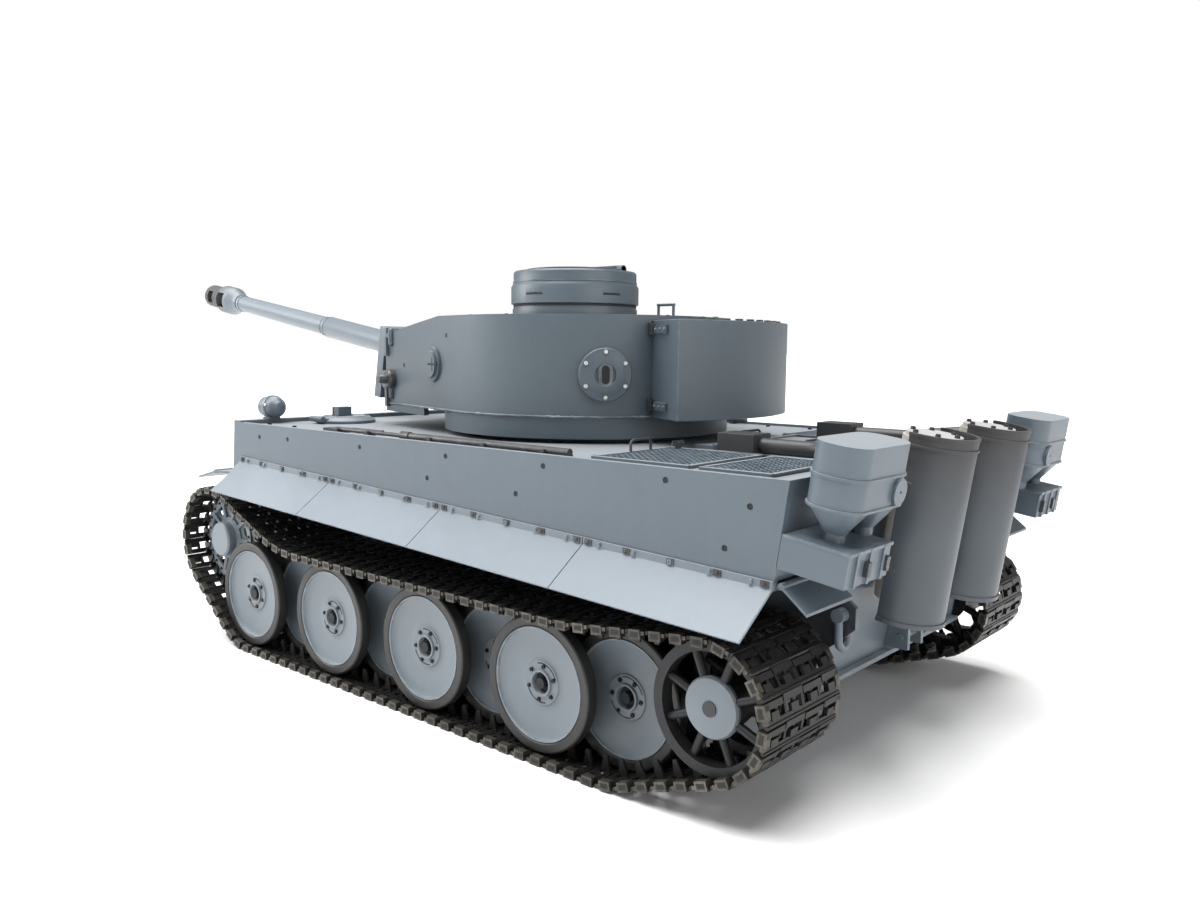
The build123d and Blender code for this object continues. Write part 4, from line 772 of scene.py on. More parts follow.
class TrackSizes(bpy.types.PropertyGroup):
    pitch: length_setting("Pitch", "Nominal pitch of the links", 0.008125)
    half: length_setting("Half thickness", "Half the thickness of a link", 0.0009)
    horn: length_setting("Horn height", "Height of a guide horn over the link", 0.0054)
    horn_y: length_setting("Horn offset", "Guide horns from the middle of the link", 0.0116)
    bend: length_setting("Return bend", "Bend radius where the top run leaves the wheels", 0.080)


class WheelSizes(bpy.types.PropertyGroup):
    tyre: length_setting("Tyre height", "Rubber seen on the wheel's face", 0.0040)
    width: length_setting("Tyre width", "Width of a tyre", 0.0054)
    outer: length_setting("Outer row", "Outer row from the middle of the track", 0.0152)
    inner: length_setting("Inner row", "Inner row from the middle of the track", 0.0062)
    bolts: IntProperty(name="Bolts", description="Bolts round a wheel's hub", default=6, min=3)


class StageSizes(bpy.types.PropertyGroup):
    eye: FloatVectorProperty(name="Camera place", description="Where the camera stands", size=3,
                             default=(-0.32207, 0.35234, 0.14731), unit="LENGTH")
    heading: FloatProperty(name="Heading", description="Camera's turn from straight ahead along the hull",
                           default=radians(-49.24), unit="ROTATION")
    pitch: FloatProperty(name="Pitch", description="Camera's tilt", default=radians(-5.87), unit="ROTATION")
    roll: FloatProperty(name="Roll", description="Camera's roll", default=radians(0.52), unit="ROTATION")
    lens: FloatProperty(name="Focal length", description="Lens in millimetres on a 36 mm frame",
                        default=29.77)
    key: FloatProperty(name="Key light", description="Power of the lamp ahead on the left", default=4.2)
    key_place: FloatVectorProperty(name="Key place", description="Where the lamp ahead stands", size=3,
                                   default=(0.62, 0.42, 0.42), unit="LENGTH")
    key_width: FloatProperty(name="Key width", description="Side of the square lamp", default=0.40,
                             unit="LENGTH")
    back: FloatProperty(name="Back light", description="Strength of the light from the rear", default=1.3)
    top: FloatProperty(name="Top light", description="Strength of the overhead light", default=6.2)
    fill: FloatProperty(name="Fill", description="Strength of the light from all round", default=0.15)
    sheen: FloatProperty(name="Sheen", description="Strength of the surround in reflections", default=0.3)


PAINTS = {}
TREES = {}


def mm(value):
    """A setting in millimetres."""
    return value / MM


# ---- Finishes ---------------------------------------------------------------------------------------


class TANK_OT_finishes(bpy.types.Operator):
    """Mix the paints, metals, rubbers and plastics, and give the inner works theirs"""

    bl_idname = "tank.finishes"
    bl_label = "Finishes"

    def execute(self, context):
        colours = context.scene.tank_colours
        for part in ("hull", "skirt", "turret"):
            colour = tuple(getattr(colours, part))
            PAINTS[part] = sprayed_paint(part + " paint", colour)
            # Edge finishes are paler in patches: partly rubbed wear, partly a painted highlight.
            PAINTS[part + " edge"] = worn_edge_highlight(part + " edge", colour)
        PAINTS["wheel edge"] = worn_edge_highlight("wheel edge", tuple(colours.wheel))
        # The tub paint and the wheel paint carry painted shade, on the tub sides between the wheels and on
        # the inner wheel rows.
        PAINTS["tub"] = sprayed_paint("tub paint", tuple(colours.hull), shade_band=(58.5, 60.2))
        PAINTS["wheel"] = sprayed_paint("wheel paint", tuple(colours.wheel), shade_band=(95.0, 84.0))
        PAINTS["barrel"] = sprayed_paint("barrel paint", tuple(colours.barrel), 0.40,
                                         soot=("X", 306.0, 322.0))
        PAINTS["barrel edge"] = worn_edge_highlight("barrel edge", tuple(colours.barrel))
        PAINTS["shield"] = sprayed_paint("sooted shield paint", tuple(colours.shield), 0.44,
                                         soot=("Z", 84.0, 126.0))
        PAINTS["shield edge"] = worn_edge_highlight("shield edge", (0.10, 0.105, 0.115), 0.5)
        PAINTS["cap"] = sprayed_paint("heat tinted cap", tuple(colours.tan), 0.5, wear=0.2)
        PAINTS["track"] = dark_steel("track steel", tuple(colours.track), (0.075, 0.070, 0.062), 0.3)
        PAINTS["link end"] = dark_steel("rubbed link end", (0.035, 0.031, 0.025), tuple(colours.brass), 0.7,
                                        0.30)
        PAINTS["cast"] = dark_steel("idler casting", (0.014, 0.0145, 0.016), (0.05, 0.05, 0.052), 0.4, 0.38)
        PAINTS["steel"] = dark_steel("tool steel", (0.045, 0.047, 0.05), (0.20, 0.20, 0.20), 0.5, 0.34)
        PAINTS["black"] = dark_steel("blackened screws", (0.014, 0.014, 0.015), (0.06, 0.06, 0.06), 0.4, 0.30)
        PAINTS["bright"] = bright_metal("plated screws")
        PAINTS["rubber"] = rubber("tyre rubber", (0.013, 0.013, 0.0128), 0.50)
        PAINTS["hose"] = rubber("hose rubber", (0.030, 0.031, 0.033), 0.42)
        # Painted shade: a near-black finish laid into holes, slots, grooves and gaps, standing in for the
        # shade inside them.
        PAINTS["pit"] = moulded_plastic("dark recess", (0.006, 0.006, 0.007), 0.7)
        PAINTS["wood"] = moulded_plastic("painted handles", (0.045, 0.052, 0.058), 0.5)
        PAINTS["green"] = moulded_plastic("green rod", (0.050, 0.105, 0.060), 0.4)
        PAINTS["lens"] = moulded_plastic("ribbed lamp front", (0.36, 0.40, 0.43), 0.22)
        PAINTS["weld"] = worn_edge_highlight("weld bead", tuple(colours.turret), 0.9)
        PAINTS["elbow"] = moulded_plastic("pale duct", (0.42, 0.43, 0.42), 0.45)
        inner = {
            "drive_gearboxes": bright_metal("gearbox alloy", (0.42, 0.43, 0.44), 0.38),
            "battery_pack": striped_wrap("battery wrap"), "control_board": circuit_board("control board"),
            "speaker": moulded_plastic("speaker box", (0.02, 0.02, 0.022)),
            "turret_drive": moulded_plastic("turret drive case", (0.09, 0.09, 0.10)),
            "power_switch": moulded_plastic("switch", (0.03, 0.03, 0.032), 0.35),
            # The swing arms get the near-black painted shade, so they read as a shaded gap.
            "elevation_unit": PAINTS["steel"], "swing_arms": PAINTS["pit"], "hull_screws": PAINTS["black"],
        }
        for node, finish in inner.items():
            slots = frame["nodes"][node].data.materials
            slots.clear()
            slots.append(finish)
        TREES["links"] = links_tree()
        TREES["spots"] = spots_tree()
        TREES["bead"] = bead_tree()
        TREES["screen"] = screen_tree()
        return {"FINISHED"}


# ---- Plates and housings --------------------------------------------------------------------------


class TANK_OT_plates(bpy.types.Operator):
    """Hull, turret and fittings with broken edges, paler partly from rubbing and partly from a painted
    highlight
    """

    bl_idname = "tank.plates"
    bl_label = "Plates and housings"

    def execute(self, context):
        jobs = [
            ("lower_hull", "tub", 0.35, "hull_paint"), ("upper_hull", "hull", 0.32, "hull_paint"),
            ("engine_deck", "hull", 0.12, "hull_paint"), ("side_skirts", "skirt", 0.13, "skirt_paint"),
            ("driver_visor", "hull", 0.3, "hull_paint"), ("headlamp", "hull", 0.12, "hull_paint"),
            ("air_filters", "hull", 0.18, "hull_paint"), ("rear_boxes", "hull", 0.22, "hull_paint"),
            ("turret_shell", "turret", 0.45, "turret_paint"), ("turret_bin", "turret", 0.4, "turret_paint"),
            ("cupola", "turret", 0.25, "turret_paint"), ("turret_fittings", "turret", 0.22, "turret_paint"),
            ("cupola_hatch", "turret", 0.2, "turret_paint"), ("loader_hatch", "turret", 0.25, "turret_paint"),
            ("mantlet", "barrel", 0.45, "barrel_paint"), ("gun_barrel", "barrel", 0.18, "barrel_paint"),
            ("driver_hatch", "hull", 0.3, "hull_paint"), ("radio_hatch", "hull", 0.3, "hull_paint"),
            ("bow_gun", "hull", 0.1, "hull_paint"), ("exhaust_shields", "shield", 0.12, "shield_paint"),
        ]
        for node, part, width, slot in jobs:
            edge = PAINTS["hull edge" if part == "tub" else part + " edge"]
            softened(node, node + "_shell", PAINTS[part], edge, width, slot)
        # the edge finish is partly rubbed wear and partly a painted highlight
        paint, rubbed = PAINTS["hull"], PAINTS["hull edge"]
        for side, _ in SIDES:
            for end in ("front", "rear"):
                softened(f"{end}_{side}_flap", f"{end}_{side}_flap_plate", paint, rubbed, 0.15, "hull_paint")
            softened(f"{side}_shackle", f"{side}_shackle_bow", paint, rubbed, 0.1, "tool_metal")
        softened("mufflers", "muffler_cans", PAINTS["cap"], PAINTS["cap"], 0.3, "muffler_metal")
        softened("deck_tools", "deck_tool_set", PAINTS["steel"], PAINTS["steel"], 0.12, "tool_metal")
        softened("air_hoses", "air_hose_pair", PAINTS["hose"], PAINTS["hose"], 0.2, "hose_rubber")
        return {"FINISHED"}


# ---- Tracks -----------------------------------------------------------------------------------------


def loop_corners(sizes):
    """The joints of the closed track loop, in X and Z, one pitch apart along the path."""
    half = mm(sizes.half)
    nominal = mm(sizes.pitch)
    running = 0.3
    gap = running / 2 + half + nominal ** 2 / (8 * WHEEL_R)
    rest = WHEEL_SPOTS[0].z + WHEEL_R + gap
    bend = mm(sizes.bend)
    sprocket_r = (corners("left_sprocket")[1].z - corners("left_sprocket")[0].z) / 2
    idler_r = (corners("left_idler")[1].z - corners("left_idler")[0].z) / 2
    circles = [
        (WHEEL_SPOTS[-1].x, WHEEL_SPOTS[-1].z, WHEEL_R + gap),
        (WHEEL_SPOTS[0].x, WHEEL_SPOTS[0].z, WHEEL_R + gap),
        (SPROCKET.x, SPROCKET.z, sprocket_r + gap), (66.0, rest + bend, -bend), (-92.0, rest + bend, -bend),
        (IDLER.x, IDLER.z, idler_r + gap),
    ]
    tangents = []
    for (x0, z0, r0), (x1, z1, r1) in zip(circles, circles[1:] + circles[:1]):
        heading = atan2(z1 - z0, x1 - x0) - asin((r1 - r0) / hypot(x1 - x0, z1 - z0))
        left = Vector((-sin(heading), cos(heading)))
        tangents.append((Vector((x0, z0)) - r0 * left, Vector((x1, z1)) - r1 * left, heading))
    runs = []
    for here, after, circle in zip(tangents, tangents[1:] + tangents[:1], circles[1:] + circles[:1]):
        start, end, heading = here
        runs.append(((end - start).length, start, heading, 0.0))
        turn = (after[2] - heading + pi) % (2 * pi) - pi
        if circle[2] > 0 and turn < 0:
            turn += 2 * pi
        runs.append((abs(turn) * abs(circle[2]), end, heading, 1 / circle[2]))
    total = sum(run[0] for run in runs)
    count = round(total / nominal)
    return [loop_place(runs, total * index / count) for index in range(count)]


def loop_place(runs, distance):
    """A place on the loop's straight runs and arcs."""
    for length, start, heading, curvature in runs:
        if distance <= length:
            break
        distance -= length
    if curvature == 0:
        return start + Vector((cos(heading), sin(heading))) * distance
    turn = distance * curvature
    return start + Vector((sin(heading + turn) - sin(heading),
                           cos(heading) - cos(heading + turn))) / curvature


def link_body(sizes):
    """One cast link: cleat bars, a ladder web, a lower rail, hinge tubes and two guide horns."""
    steel = PAINTS["track"]
    half, reach = mm(sizes.half), TRACK_W / 2
    back, front = -3.75, 3.75
    link = Shape()
    # cleat across the link in four lengths
    gaps = [-reach, -11.5, 0.2, 11.9, reach]
    for index, (y0, y1) in enumerate(zip(gaps, gaps[1:])):
        shift = 0.25 if index % 2 else -0.25
        link.block((back + 0.5 + shift, y0 + 0.3, -half), (back + 2.6 + shift, y1 - 0.3, half * 0.75), steel)
    # front rail and ladder ribs
    link.block((front - 1.3, -reach + 1.0, -half * 0.35), (front, reach - 1.0, half), steel)
    link.block((back + 2.0, -reach + 1.0, half * 0.1), (back + 3.0, reach - 1.0, half), steel)
    for rib in range(9):
        y = -reach + 2.2 + (TRACK_W - 4.4) * rib / 8
        link.block((back + 2.4, y - 0.65, -half * 0.2), (front - 1.0, y + 0.65, half * 0.9), steel)
    # raised knobs between the cleats
    for y in (-17.0, -5.7, 5.9, 17.2):
        link.block((0.1, y - 2.1, -half), (2.5, y + 2.1, half * 0.4), steel)
    # hinge tube on the joint
    link.rod((back - 0.2, -reach + 0.6, 0), (back - 0.2, reach - 0.6, 0), half * 0.82, steel, 8)
    # guide horns
    for sign in (-1, 1):
        y = sign * mm(sizes.horn_y)
        horn = mm(sizes.horn)
        link.at = Matrix.Translation((0, y, 0)) @ Matrix.Rotation(pi / 2, 4, "X")
        link.prism([(-2.0, half - 0.1), (2.0, half - 0.1), (1.0, half + horn), (-0.6, half + horn)], -0.5,
                   0.5, steel)
        link.at = Matrix.Identity(4)
    return link


def link_ends(sizes):
    """The two forked end connectors of a link with their pin heads."""
    end = PAINTS["link end"]
    half, reach = mm(sizes.half), TRACK_W / 2
    pair = Shape()
    for sign in (-1, 1):
        y0, y1 = sorted((sign * (reach - 2.6), sign * reach))
        pair.block((-2.7, y0, -half), (1.9, y1, half + 1.5), end)
        mid = sign * (reach - 0.3)
        y0, y1 = sorted((mid, sign * (reach - 1.9)))
        pair.block((1.7, y0, -half * 0.4), (3.4, y1, half), end)
    return pair


def slot_shade_blocks(sizes):
    """Painted shade: near-black slabs in the outer faces of the end connectors, standing in for the shade in
    their slots.
    """
    reach, half = TRACK_W / 2, mm(sizes.half)
    slot_shade = Shape()
    for sign in (-1, 1):
        y0, y1 = sorted((sign * (reach - 0.4), sign * (reach + 0.02)))
        slot_shade.block((-2.0, y0, -half + 0.8), (1.2, y1, half + 0.7), PAINTS["pit"])
    return slot_shade


class TANK_OT_tracks(bpy.types.Operator):
    """Both tracks, a cast link on every joint of the loop"""

    bl_idname = "tank.tracks"
    bl_label = "Tracks"

    def execute(self, context):
        sizes = context.scene.tank_track
        path = loop_corners(sizes)
        # The last kind is a painted shade in the slots of the link ends.
        kinds = (("links", link_body, "track"), ("link_ends", link_ends, "link end"),
                 ("link_slots", slot_shade_blocks, "pit"))
        for side, sign in SIDES:
            for kind, build, finish in kinds:
                name = f"{side}_track_{kind}"
                loop = path_mesh(name, [(p.x, sign * TRACK_Y, p.y) for p in path], True)
                piece = template(name + "_one", build(sizes))
                mesh = grow(name, loop, TREES["links"], Link=piece, Finish=PAINTS[finish])
                bpy.data.objects.remove(piece)
                smooth(mesh, 30.0)
                made = new_object(name, mesh)
                mount(made, "hull", "track_steel", *([f"{side}_track"] if kind == "links" else []))
        return {"FINISHED"}


# ---- Running gear ---------------------------------------------------------------------------------


def wheel_row(shape, spot, y, outward, sizes):
    """One dished wheel with its tyre, hub and slots; outward is the side that its face looks to."""
    disc, edge, tyre, pit = PAINTS["wheel"], PAINTS["wheel edge"], PAINTS["rubber"], PAINTS["pit"]
    centre = (spot.x, y, spot.z)
    axis = (0, outward, 0)
    half = mm(sizes.width) / 2
    rim = WHEEL_R - mm(sizes.tyre)
    shape.turned(centre, [
        (rim + 0.1, -half + 0.2), (WHEEL_R - 0.7, -half + 0.2), (WHEEL_R - 0.15, -half + 0.55),
        (WHEEL_R, -half + 1.1), (WHEEL_R, half - 1.1), (WHEEL_R - 0.15, half - 0.55),
        (WHEEL_R - 0.7, half - 0.2),
        (rim + 0.6, half - 0.35), (rim + 0.1, half - 0.9),
    ], axis, tyre, 72)
    shape.turned(centre, [
        (rim + 0.05, half - 1.0), (rim - 0.1, half - 0.55), (rim - 0.45, half - 0.6), (rim - 0.6, half - 1.0),
        (rim - 0.6, half - 1.8), (rim + 0.05, half - 1.8),
    ], axis, edge, 72)
    dish = [(rim - 0.55, half - 1.5), (rim - 1.4, half - 2.1)]
    dish += [(rim - 1.4 - (rim - 9.9) * t, half - 2.1 - 1.5 * sin(t * pi / 2))
             for t in (0.25, 0.5, 0.75, 1.0)]
    shape.turned(centre, dish + [
        (8.3, half - 3.5), (8.0, half - 3.0), (5.0, half - 3.0), (4.8, half - 2.2), (4.1, half - 2.2),
        (3.9, half - 2.8), (3.8, half - 4.6), (0, half - 4.6), (0, -half + 0.6), (5.0, -half + 0.6),
        (6.0, -half + 1.4), (rim - 3, -half + 1.4), (rim - 1.2, -half + 0.4), (rim - 0.1, -half + 0.4),
        (rim - 0.1, half - 1.7),
    ], axis, disc, 72)
    # painted shade: near-black discs for the bore and for two curved slots in the flange
    shape.turned(centre, [(0, half - 4.7), (3.75, half - 4.7), (3.75, half - 4.45), (0, half - 4.45)], axis,
                 pit, 24)
    for start in (0.35, 0.35 + pi):
        shape.turned(centre, [(7.0, half - 3.2), (7.5, half - 3.2), (7.5, half - 2.96), (7.0, half - 2.96)],
                     axis, pit, 10, start, 1.5)


class TANK_OT_wheels(bpy.types.Operator):
    """Sixteen wheel stations with tyres, hubs and hub bolts"""

    bl_idname = "tank.wheels"
    bl_label = "Road wheels"

    def execute(self, context):
        sizes = context.scene.tank_wheel
        outer, inner, half = mm(sizes.outer), mm(sizes.inner), mm(sizes.width) / 2
        for side, sign in SIDES:
            for number, spot in enumerate(WHEEL_SPOTS, start=1):
                rows = (outer, -inner) if number % 2 else (inner, -outer)
                body = f"wheel_{side}_{number}"
                shape = Shape()
                for index, offset in enumerate(rows):
                    wheel_row(shape, spot, sign * (TRACK_Y + offset), sign * (1 if index == 0 else -1), sizes)
                ends = sorted(sign * (TRACK_Y + offset) for offset in rows)
                shape.rod((spot.x, ends[0] + half - 0.7, spot.z), (spot.x, ends[1] - half + 0.7, spot.z), 4.4,
                          PAINTS["steel"], 24)
                make(f"{side}_wheel_{number}_discs", shape, body, "wheel_paint", [f"{side}_wheel_{number}"])
                bolt = Shape()
                bolt.turned((0, 0, -0.2),
                            [(0, 0), (0.85, 0), (0.85, 0.75), (0.7, 0.95), (0.35, 0.95), (0.3, 0.6),
                                           (0, 0.6)], (0, 0, 1), PAINTS["black"], 6)
                spots = []
                for step in range(sizes.bolts):
                    angle = 2 * pi * step / sizes.bolts + 0.4 * number
                    out = Vector((cos(angle), 0, sin(angle)))
                    place = Vector((spot.x, sign * (TRACK_Y + rows[0] + half - 3.0), spot.z)) + out * 6.35
                    spots.append((place, (0, sign, 0), out))
                set_out(f"{side}_wheel_{number}_bolts", spots, template("hub bolt", bolt), PAINTS["black"],
                        body,
                        "screw_steel")
        return {"FINISHED"}


class TANK_OT_drive(bpy.types.Operator):
    """Sprockets and idlers with their caps, spokes and bolts"""

    bl_idname = "tank.drive"
    bl_label = "Sprockets and idlers"

    def execute(self, context):
        for side, sign in SIDES:
            softened(f"{side}_sprocket", f"{side}_sprocket_casting", PAINTS["wheel"], PAINTS["wheel edge"],
                     0.12,
                     "wheel_paint")
            softened(f"{side}_idler", f"{side}_idler_casting", PAINTS["cast"], PAINTS["cast"], 0.15,
                     "wheel_paint")
            self.sprocket_face(side, sign)
            self.idler_face(side, sign)
        return {"FINISHED"}

    def sprocket_face(self, side, sign):
        """Spoked outer face of the sprocket and its ring of bolts."""
        body = f"sprocket_{side}"
        y = sign * (TRACK_Y + 9.95 + 0.7)
        face = Shape()
        face.turned((SPROCKET.x, y, SPROCKET.z), [(17.2, 0), (20.4, 0), (20.4, 0.9), (17.2, 0.9)],
                    (0, sign, 0),
                    PAINTS["wheel edge"], 60)
        for spoke in range(10):
            angle = 2 * pi * spoke / 10
            face.at = Matrix.Translation((SPROCKET.x, y, SPROCKET.z)) @ Matrix.Rotation(-angle, 4, "Y")
            y0, y1 = sorted((0.0, sign * 1.3))
            face.block((9.5, y0, -1.0), (18.0, y1, 1.0), PAINTS["wheel"])
        face.at = Matrix.Identity(4)
        make(f"{side}_sprocket_spokes", face, body, "wheel_paint", bevel=0.12)
        bolt = Shape()
        bolt.turned((0, 0, -0.2), [(0, 0), (0.7, 0), (0.7, 0.7), (0.5, 0.9), (0, 0.9)], (0, 0, 1),
                    PAINTS["black"], 8)
        spots = []
        for step in range(20):
            angle = 2 * pi * (step + 0.5) / 20
            out = Vector((cos(angle), 0, sin(angle)))
            spots.append((Vector((SPROCKET.x, y + sign * 0.9, SPROCKET.z)) + out * 18.8, (0, sign, 0), out))
        set_out(f"{side}_sprocket_bolts", spots, template("ring bolt", bolt), PAINTS["black"], body,
                "screw_steel")

    def idler_face(self, side, sign):
        """Domed cap of the idler with a near-black disc of painted shade in its centre hole."""
        cap = Shape()
        y = sign * (TRACK_Y + 15.2 - 1.0)
        cap.turned((IDLER.x, y, IDLER.z), [
            (9.2, 0), (10.0, 1.0), (10.0, 2.2), (9.4, 3.0), (6.0, 3.35), (2.0, 3.4), (1.7, 3.1), (1.7, 1.6),
            (0, 1.6),
            (0, 0),
        ], (0, sign, 0), PAINTS["wheel"], 48)
        # painted shade: a near-black disc in the centre hole
        cap.turned((IDLER.x, y, IDLER.z), [(0, 1.62), (1.65, 1.62), (1.65, 1.8), (0, 1.8)], (0, sign, 0),
                   PAINTS["pit"], 20)
        make(f"{side}_idler_cap", cap, f"idler_{side}", "wheel_paint")


# ---- Turret details ---------------------------------------------------------------------------------


class TANK_OT_turret(bpy.types.Operator):
    """Weld beads, pistol port, straps, rivets, cheek fittings, rod and cupola trim"""

    bl_idname = "tank.turret"
    bl_label = "Turret details"

    def execute(self, context):
        self.bead()
        self.port()
        self.cheeks()
        self.straps()
        self.cupola_trim()
        self.roof_bits()
        return {"FINISHED"}

    def bead(self):
        """The weld between the wall and the base ring."""
        for side, sign in SIDES:
            spots = [turret_wall(26.0 + 3.0 * step)[0] for step in range(62)]
            route = [(p.x, sign * p.y, TURRET_LOW + 0.15) for p in spots if p.x < 84]
            mesh = grow(f"{side}_turret_weld", path_mesh("weld", route), TREES["bead"], Radius=0.5 * MM,
                        Step=0.7 * MM, Lumps=0.9 * MM, Finish=PAINTS["weld"])
            smooth(mesh, 80.0)
            mount(new_object(f"{side}_turret_weld", mesh), "turret", "turret_paint")

    def port(self):
        """Pistol port flange with its screws and a near-black slab of painted shade in its slot."""
        angle, height, stand_off = radians(138.0), 136.5, 1.35
        out = Vector((cos(angle), sin(angle), 0))
        spot = Vector((TURRET_X, 0, height)) + out * (TURRET_R + stand_off)
        across = Vector((-out.y, out.x, 0))
        port = Shape()
        turn = Matrix((across, Vector((0, 0, 1)), out)).transposed().to_4x4()
        port.at = Matrix.Translation(spot) @ turn
        port.turned((0, 0, 0), [(4.3, -0.4), (11.0, -0.4), (11.0, 0.25), (10.6, 0.7), (8.2, 0.9),
                                (7.6, 1.15), (4.6, 1.15),
                                (4.3, 0.9)], (0, 0, 1), PAINTS["turret"], 64)
        outline = [(1.7 * cos(a), 1.7 * sin(a) + (2.1 if sin(a) >= 0 else -2.1)) for a in
                   [2 * pi * k / 20 for k in range(20)]]
        port.prism([(x * 1.75, y * 1.25) for x, y in outline], -0.3, 1.0, PAINTS["turret edge"])
        # painted shade in the slot
        port.prism(outline, 0.2, 1.05, PAINTS["pit"])
        port.at = Matrix.Identity(4)
        make("pistol_port_flange", port, "turret", "turret_paint")
        screw = Shape()
        screw.turned((0, 0, -0.3),
                     [(0, 0), (0.95, 0), (0.95, 0.7), (0.75, 1.0), (0.42, 1.05), (0.4, 0.7), (0, 0.7)],
                     (0, 0, 1), PAINTS["bright"], 12)
        spots = []
        for step in range(6):
            turn = pi / 6 + pi / 3 * step
            spots.append((spot + (across * cos(turn) + Vector((0, 0, 1)) * sin(turn)) * 9.3 + out * 0.75,
                          out, None))
        set_out("pistol_port_screws", spots, template("port screw", screw), PAINTS["bright"], "turret",
                "screw_steel")

    def cheeks(self):
        """Painted shade for the vision slit and screw holes, and the dark pin boss at the cheek's front edge.
        """
        angle, boss_ahead, boss_height = cheek_angle(), 22.0, 139.3
        for side, sign in SIDES:
            out = Vector((sin(angle), sign * cos(angle), 0))
            ahead = Vector((cos(angle), -sign * sin(angle), 0))
            turn = Matrix((ahead, Vector((0, 0, 1)), out)).transposed().to_4x4()
            foot = Vector((TURRET_X, 0, 0)) + out * TURRET_R
            boss = foot + ahead * boss_ahead + Vector((0, 0, boss_height))
            trim = Shape()
            trim.at = Matrix.Translation(boss) @ turn
            # painted shade: near-black slabs for the vision slit and the screw holes
            trim.block((-4.6, -0.45, 1.9), (4.6, 0.45, 2.46), PAINTS["pit"])
            trim.block((-0.4, -3.0, 1.9), (0.4, 3.0, 2.46), PAINTS["pit"])
            for x, y in ((36.0, -1.0), (-10.0, 13.0)):
                trim.block((x - 0.9, y - 0.9, -0.2), (x + 0.9, y + 0.9, 0.06), PAINTS["pit"])
            # rounded bars and the pin boss
            for z in (-18.0, 8.0):
                trim.rod((50.5, z, 0.6), (50.5, z + 9.0, 0.6), 1.3, PAINTS["turret edge"], 14, 0.8)
            trim.turned((50.0, -8.0, 0),
                        [(0, 0), (4.6, 0), (4.6, 2.4), (3.8, 3.4), (2.4, 3.6), (2.2, 6.6), (1.6, 7.4),
                                          (0, 7.4)], (0, 0, 1), PAINTS["steel"], 28)
            trim.at = Matrix.Identity(4)
            make(f"{side}_cheek_fittings", trim, "turret", "turret_paint")

    def straps(self):
        """Clamps and rivets where the bin is strapped to the wall."""
        inner_y, outer_y = 28.0, 41.0
        for side, sign in SIDES:
            outer = Vector((TURRET_X - sqrt(BIN_R ** 2 - outer_y ** 2), sign * outer_y, 0))
            inner = Vector((TURRET_X - sqrt(TURRET_R ** 2 - inner_y ** 2), sign * inner_y, 0))
            across = (outer - inner).normalized()
            facing = Vector((across.y, -across.x, 0))
            if facing.y * sign < 0:
                facing.negate()
            rivet = Shape()
            rivet.turned((0, 0, -0.2), [(0, 0), (0.75, 0), (0.72, 0.45), (0.45, 0.75), (0, 0.85)], (0, 0, 1),
                         PAINTS["turret edge"], 12)
            spots, trim = [], Shape()
            turn = Matrix((across, Vector((0, 0, 1)), facing)).transposed().to_4x4()
            for z in (124.0, 155.0):
                for step in (6.0, 10.5, 15.0):
                    spots.append((inner + across * step + facing * 1.15 + Vector((0, 0, z)), facing, None))
                trim.at = Matrix.Translation(inner + Vector((0, 0, z))) @ turn
                trim.block((0.6, -2.3, -0.4), (3.4, 2.3, 1.9), PAINTS["steel"])
                trim.rod((2.0, -2.8, 1.9), (2.0, 2.8, 1.9), 0.8, PAINTS["black"], 12)
            trim.at = Matrix.Identity(4)
            make(f"{side}_bin_clamps", trim, "turret", "turret_paint", bevel=0.12)
            set_out(f"{side}_bin_rivets", spots, template("bin rivet", rivet), PAINTS["turret edge"],
                    "turret",
                    "turret_paint")

    def cupola_trim(self):
        """Painted shade in the slits and in the groove under the slotted ring, and the hatch's spring hinge.
        """
        trim = Shape()
        centre = (CUPOLA[0], CUPOLA[1], 0)
        # painted shade: near-black slabs in the slits and a near-black ring in the groove
        for step in range(5):
            angle = radians(22 + 72 * step)
            trim.at = Matrix.Translation(centre) @ Matrix.Rotation(angle, 4, "Z")
            trim.block((CUPOLA_R - 1.6, -4.1, 169.0), (CUPOLA_R - 0.12, 4.1, 169.8), PAINTS["pit"])
        trim.at = Matrix.Identity(4)
        trim.turned(centre, [(CUPOLA_R - 2.0, 164.6), (CUPOLA_R - 0.9, 164.6), (CUPOLA_R - 0.9, 165.6),
                             (CUPOLA_R - 2.0, 165.6)],
                    (0, 0, 1), PAINTS["pit"], 72)
        trim.turned(centre, [(CUPOLA_R - 1.4, 174.7), (CUPOLA_R - 0.7, 174.7), (CUPOLA_R - 0.7, 175.2),
                             (CUPOLA_R - 1.4, 175.2)], (0, 0, 1), PAINTS["turret edge"], 72)
        make("cupola_trim", trim, "turret", "turret_paint")
        hinge = Shape()
        y, z = CUPOLA[1] - 22.0, CUPOLA_TOP + 2.4
        for sign in (-1, 1):
            hinge.turned((CUPOLA[0] + sign * 6.5, y, z),
                         [(0, 0), (1.7, 0), (2.0, 0.5), (2.0, 2.0), (1.6, 2.5), (0, 2.5)],
                         (sign, 0, 0), PAINTS["black"], 18)
        turns = [(CUPOLA[0] - 6 + 12 * t / 90, y + 1.75 * cos(2 * pi * t / 10),
                  z + 1.75 * sin(2 * pi * t / 10))
                 for t in range(91)]
        hinge.tube(turns, 0.32, PAINTS["steel"], 6)
        make("cupola_hinge_spring", hinge, BODY["cupola_hatch"], "turret_paint")

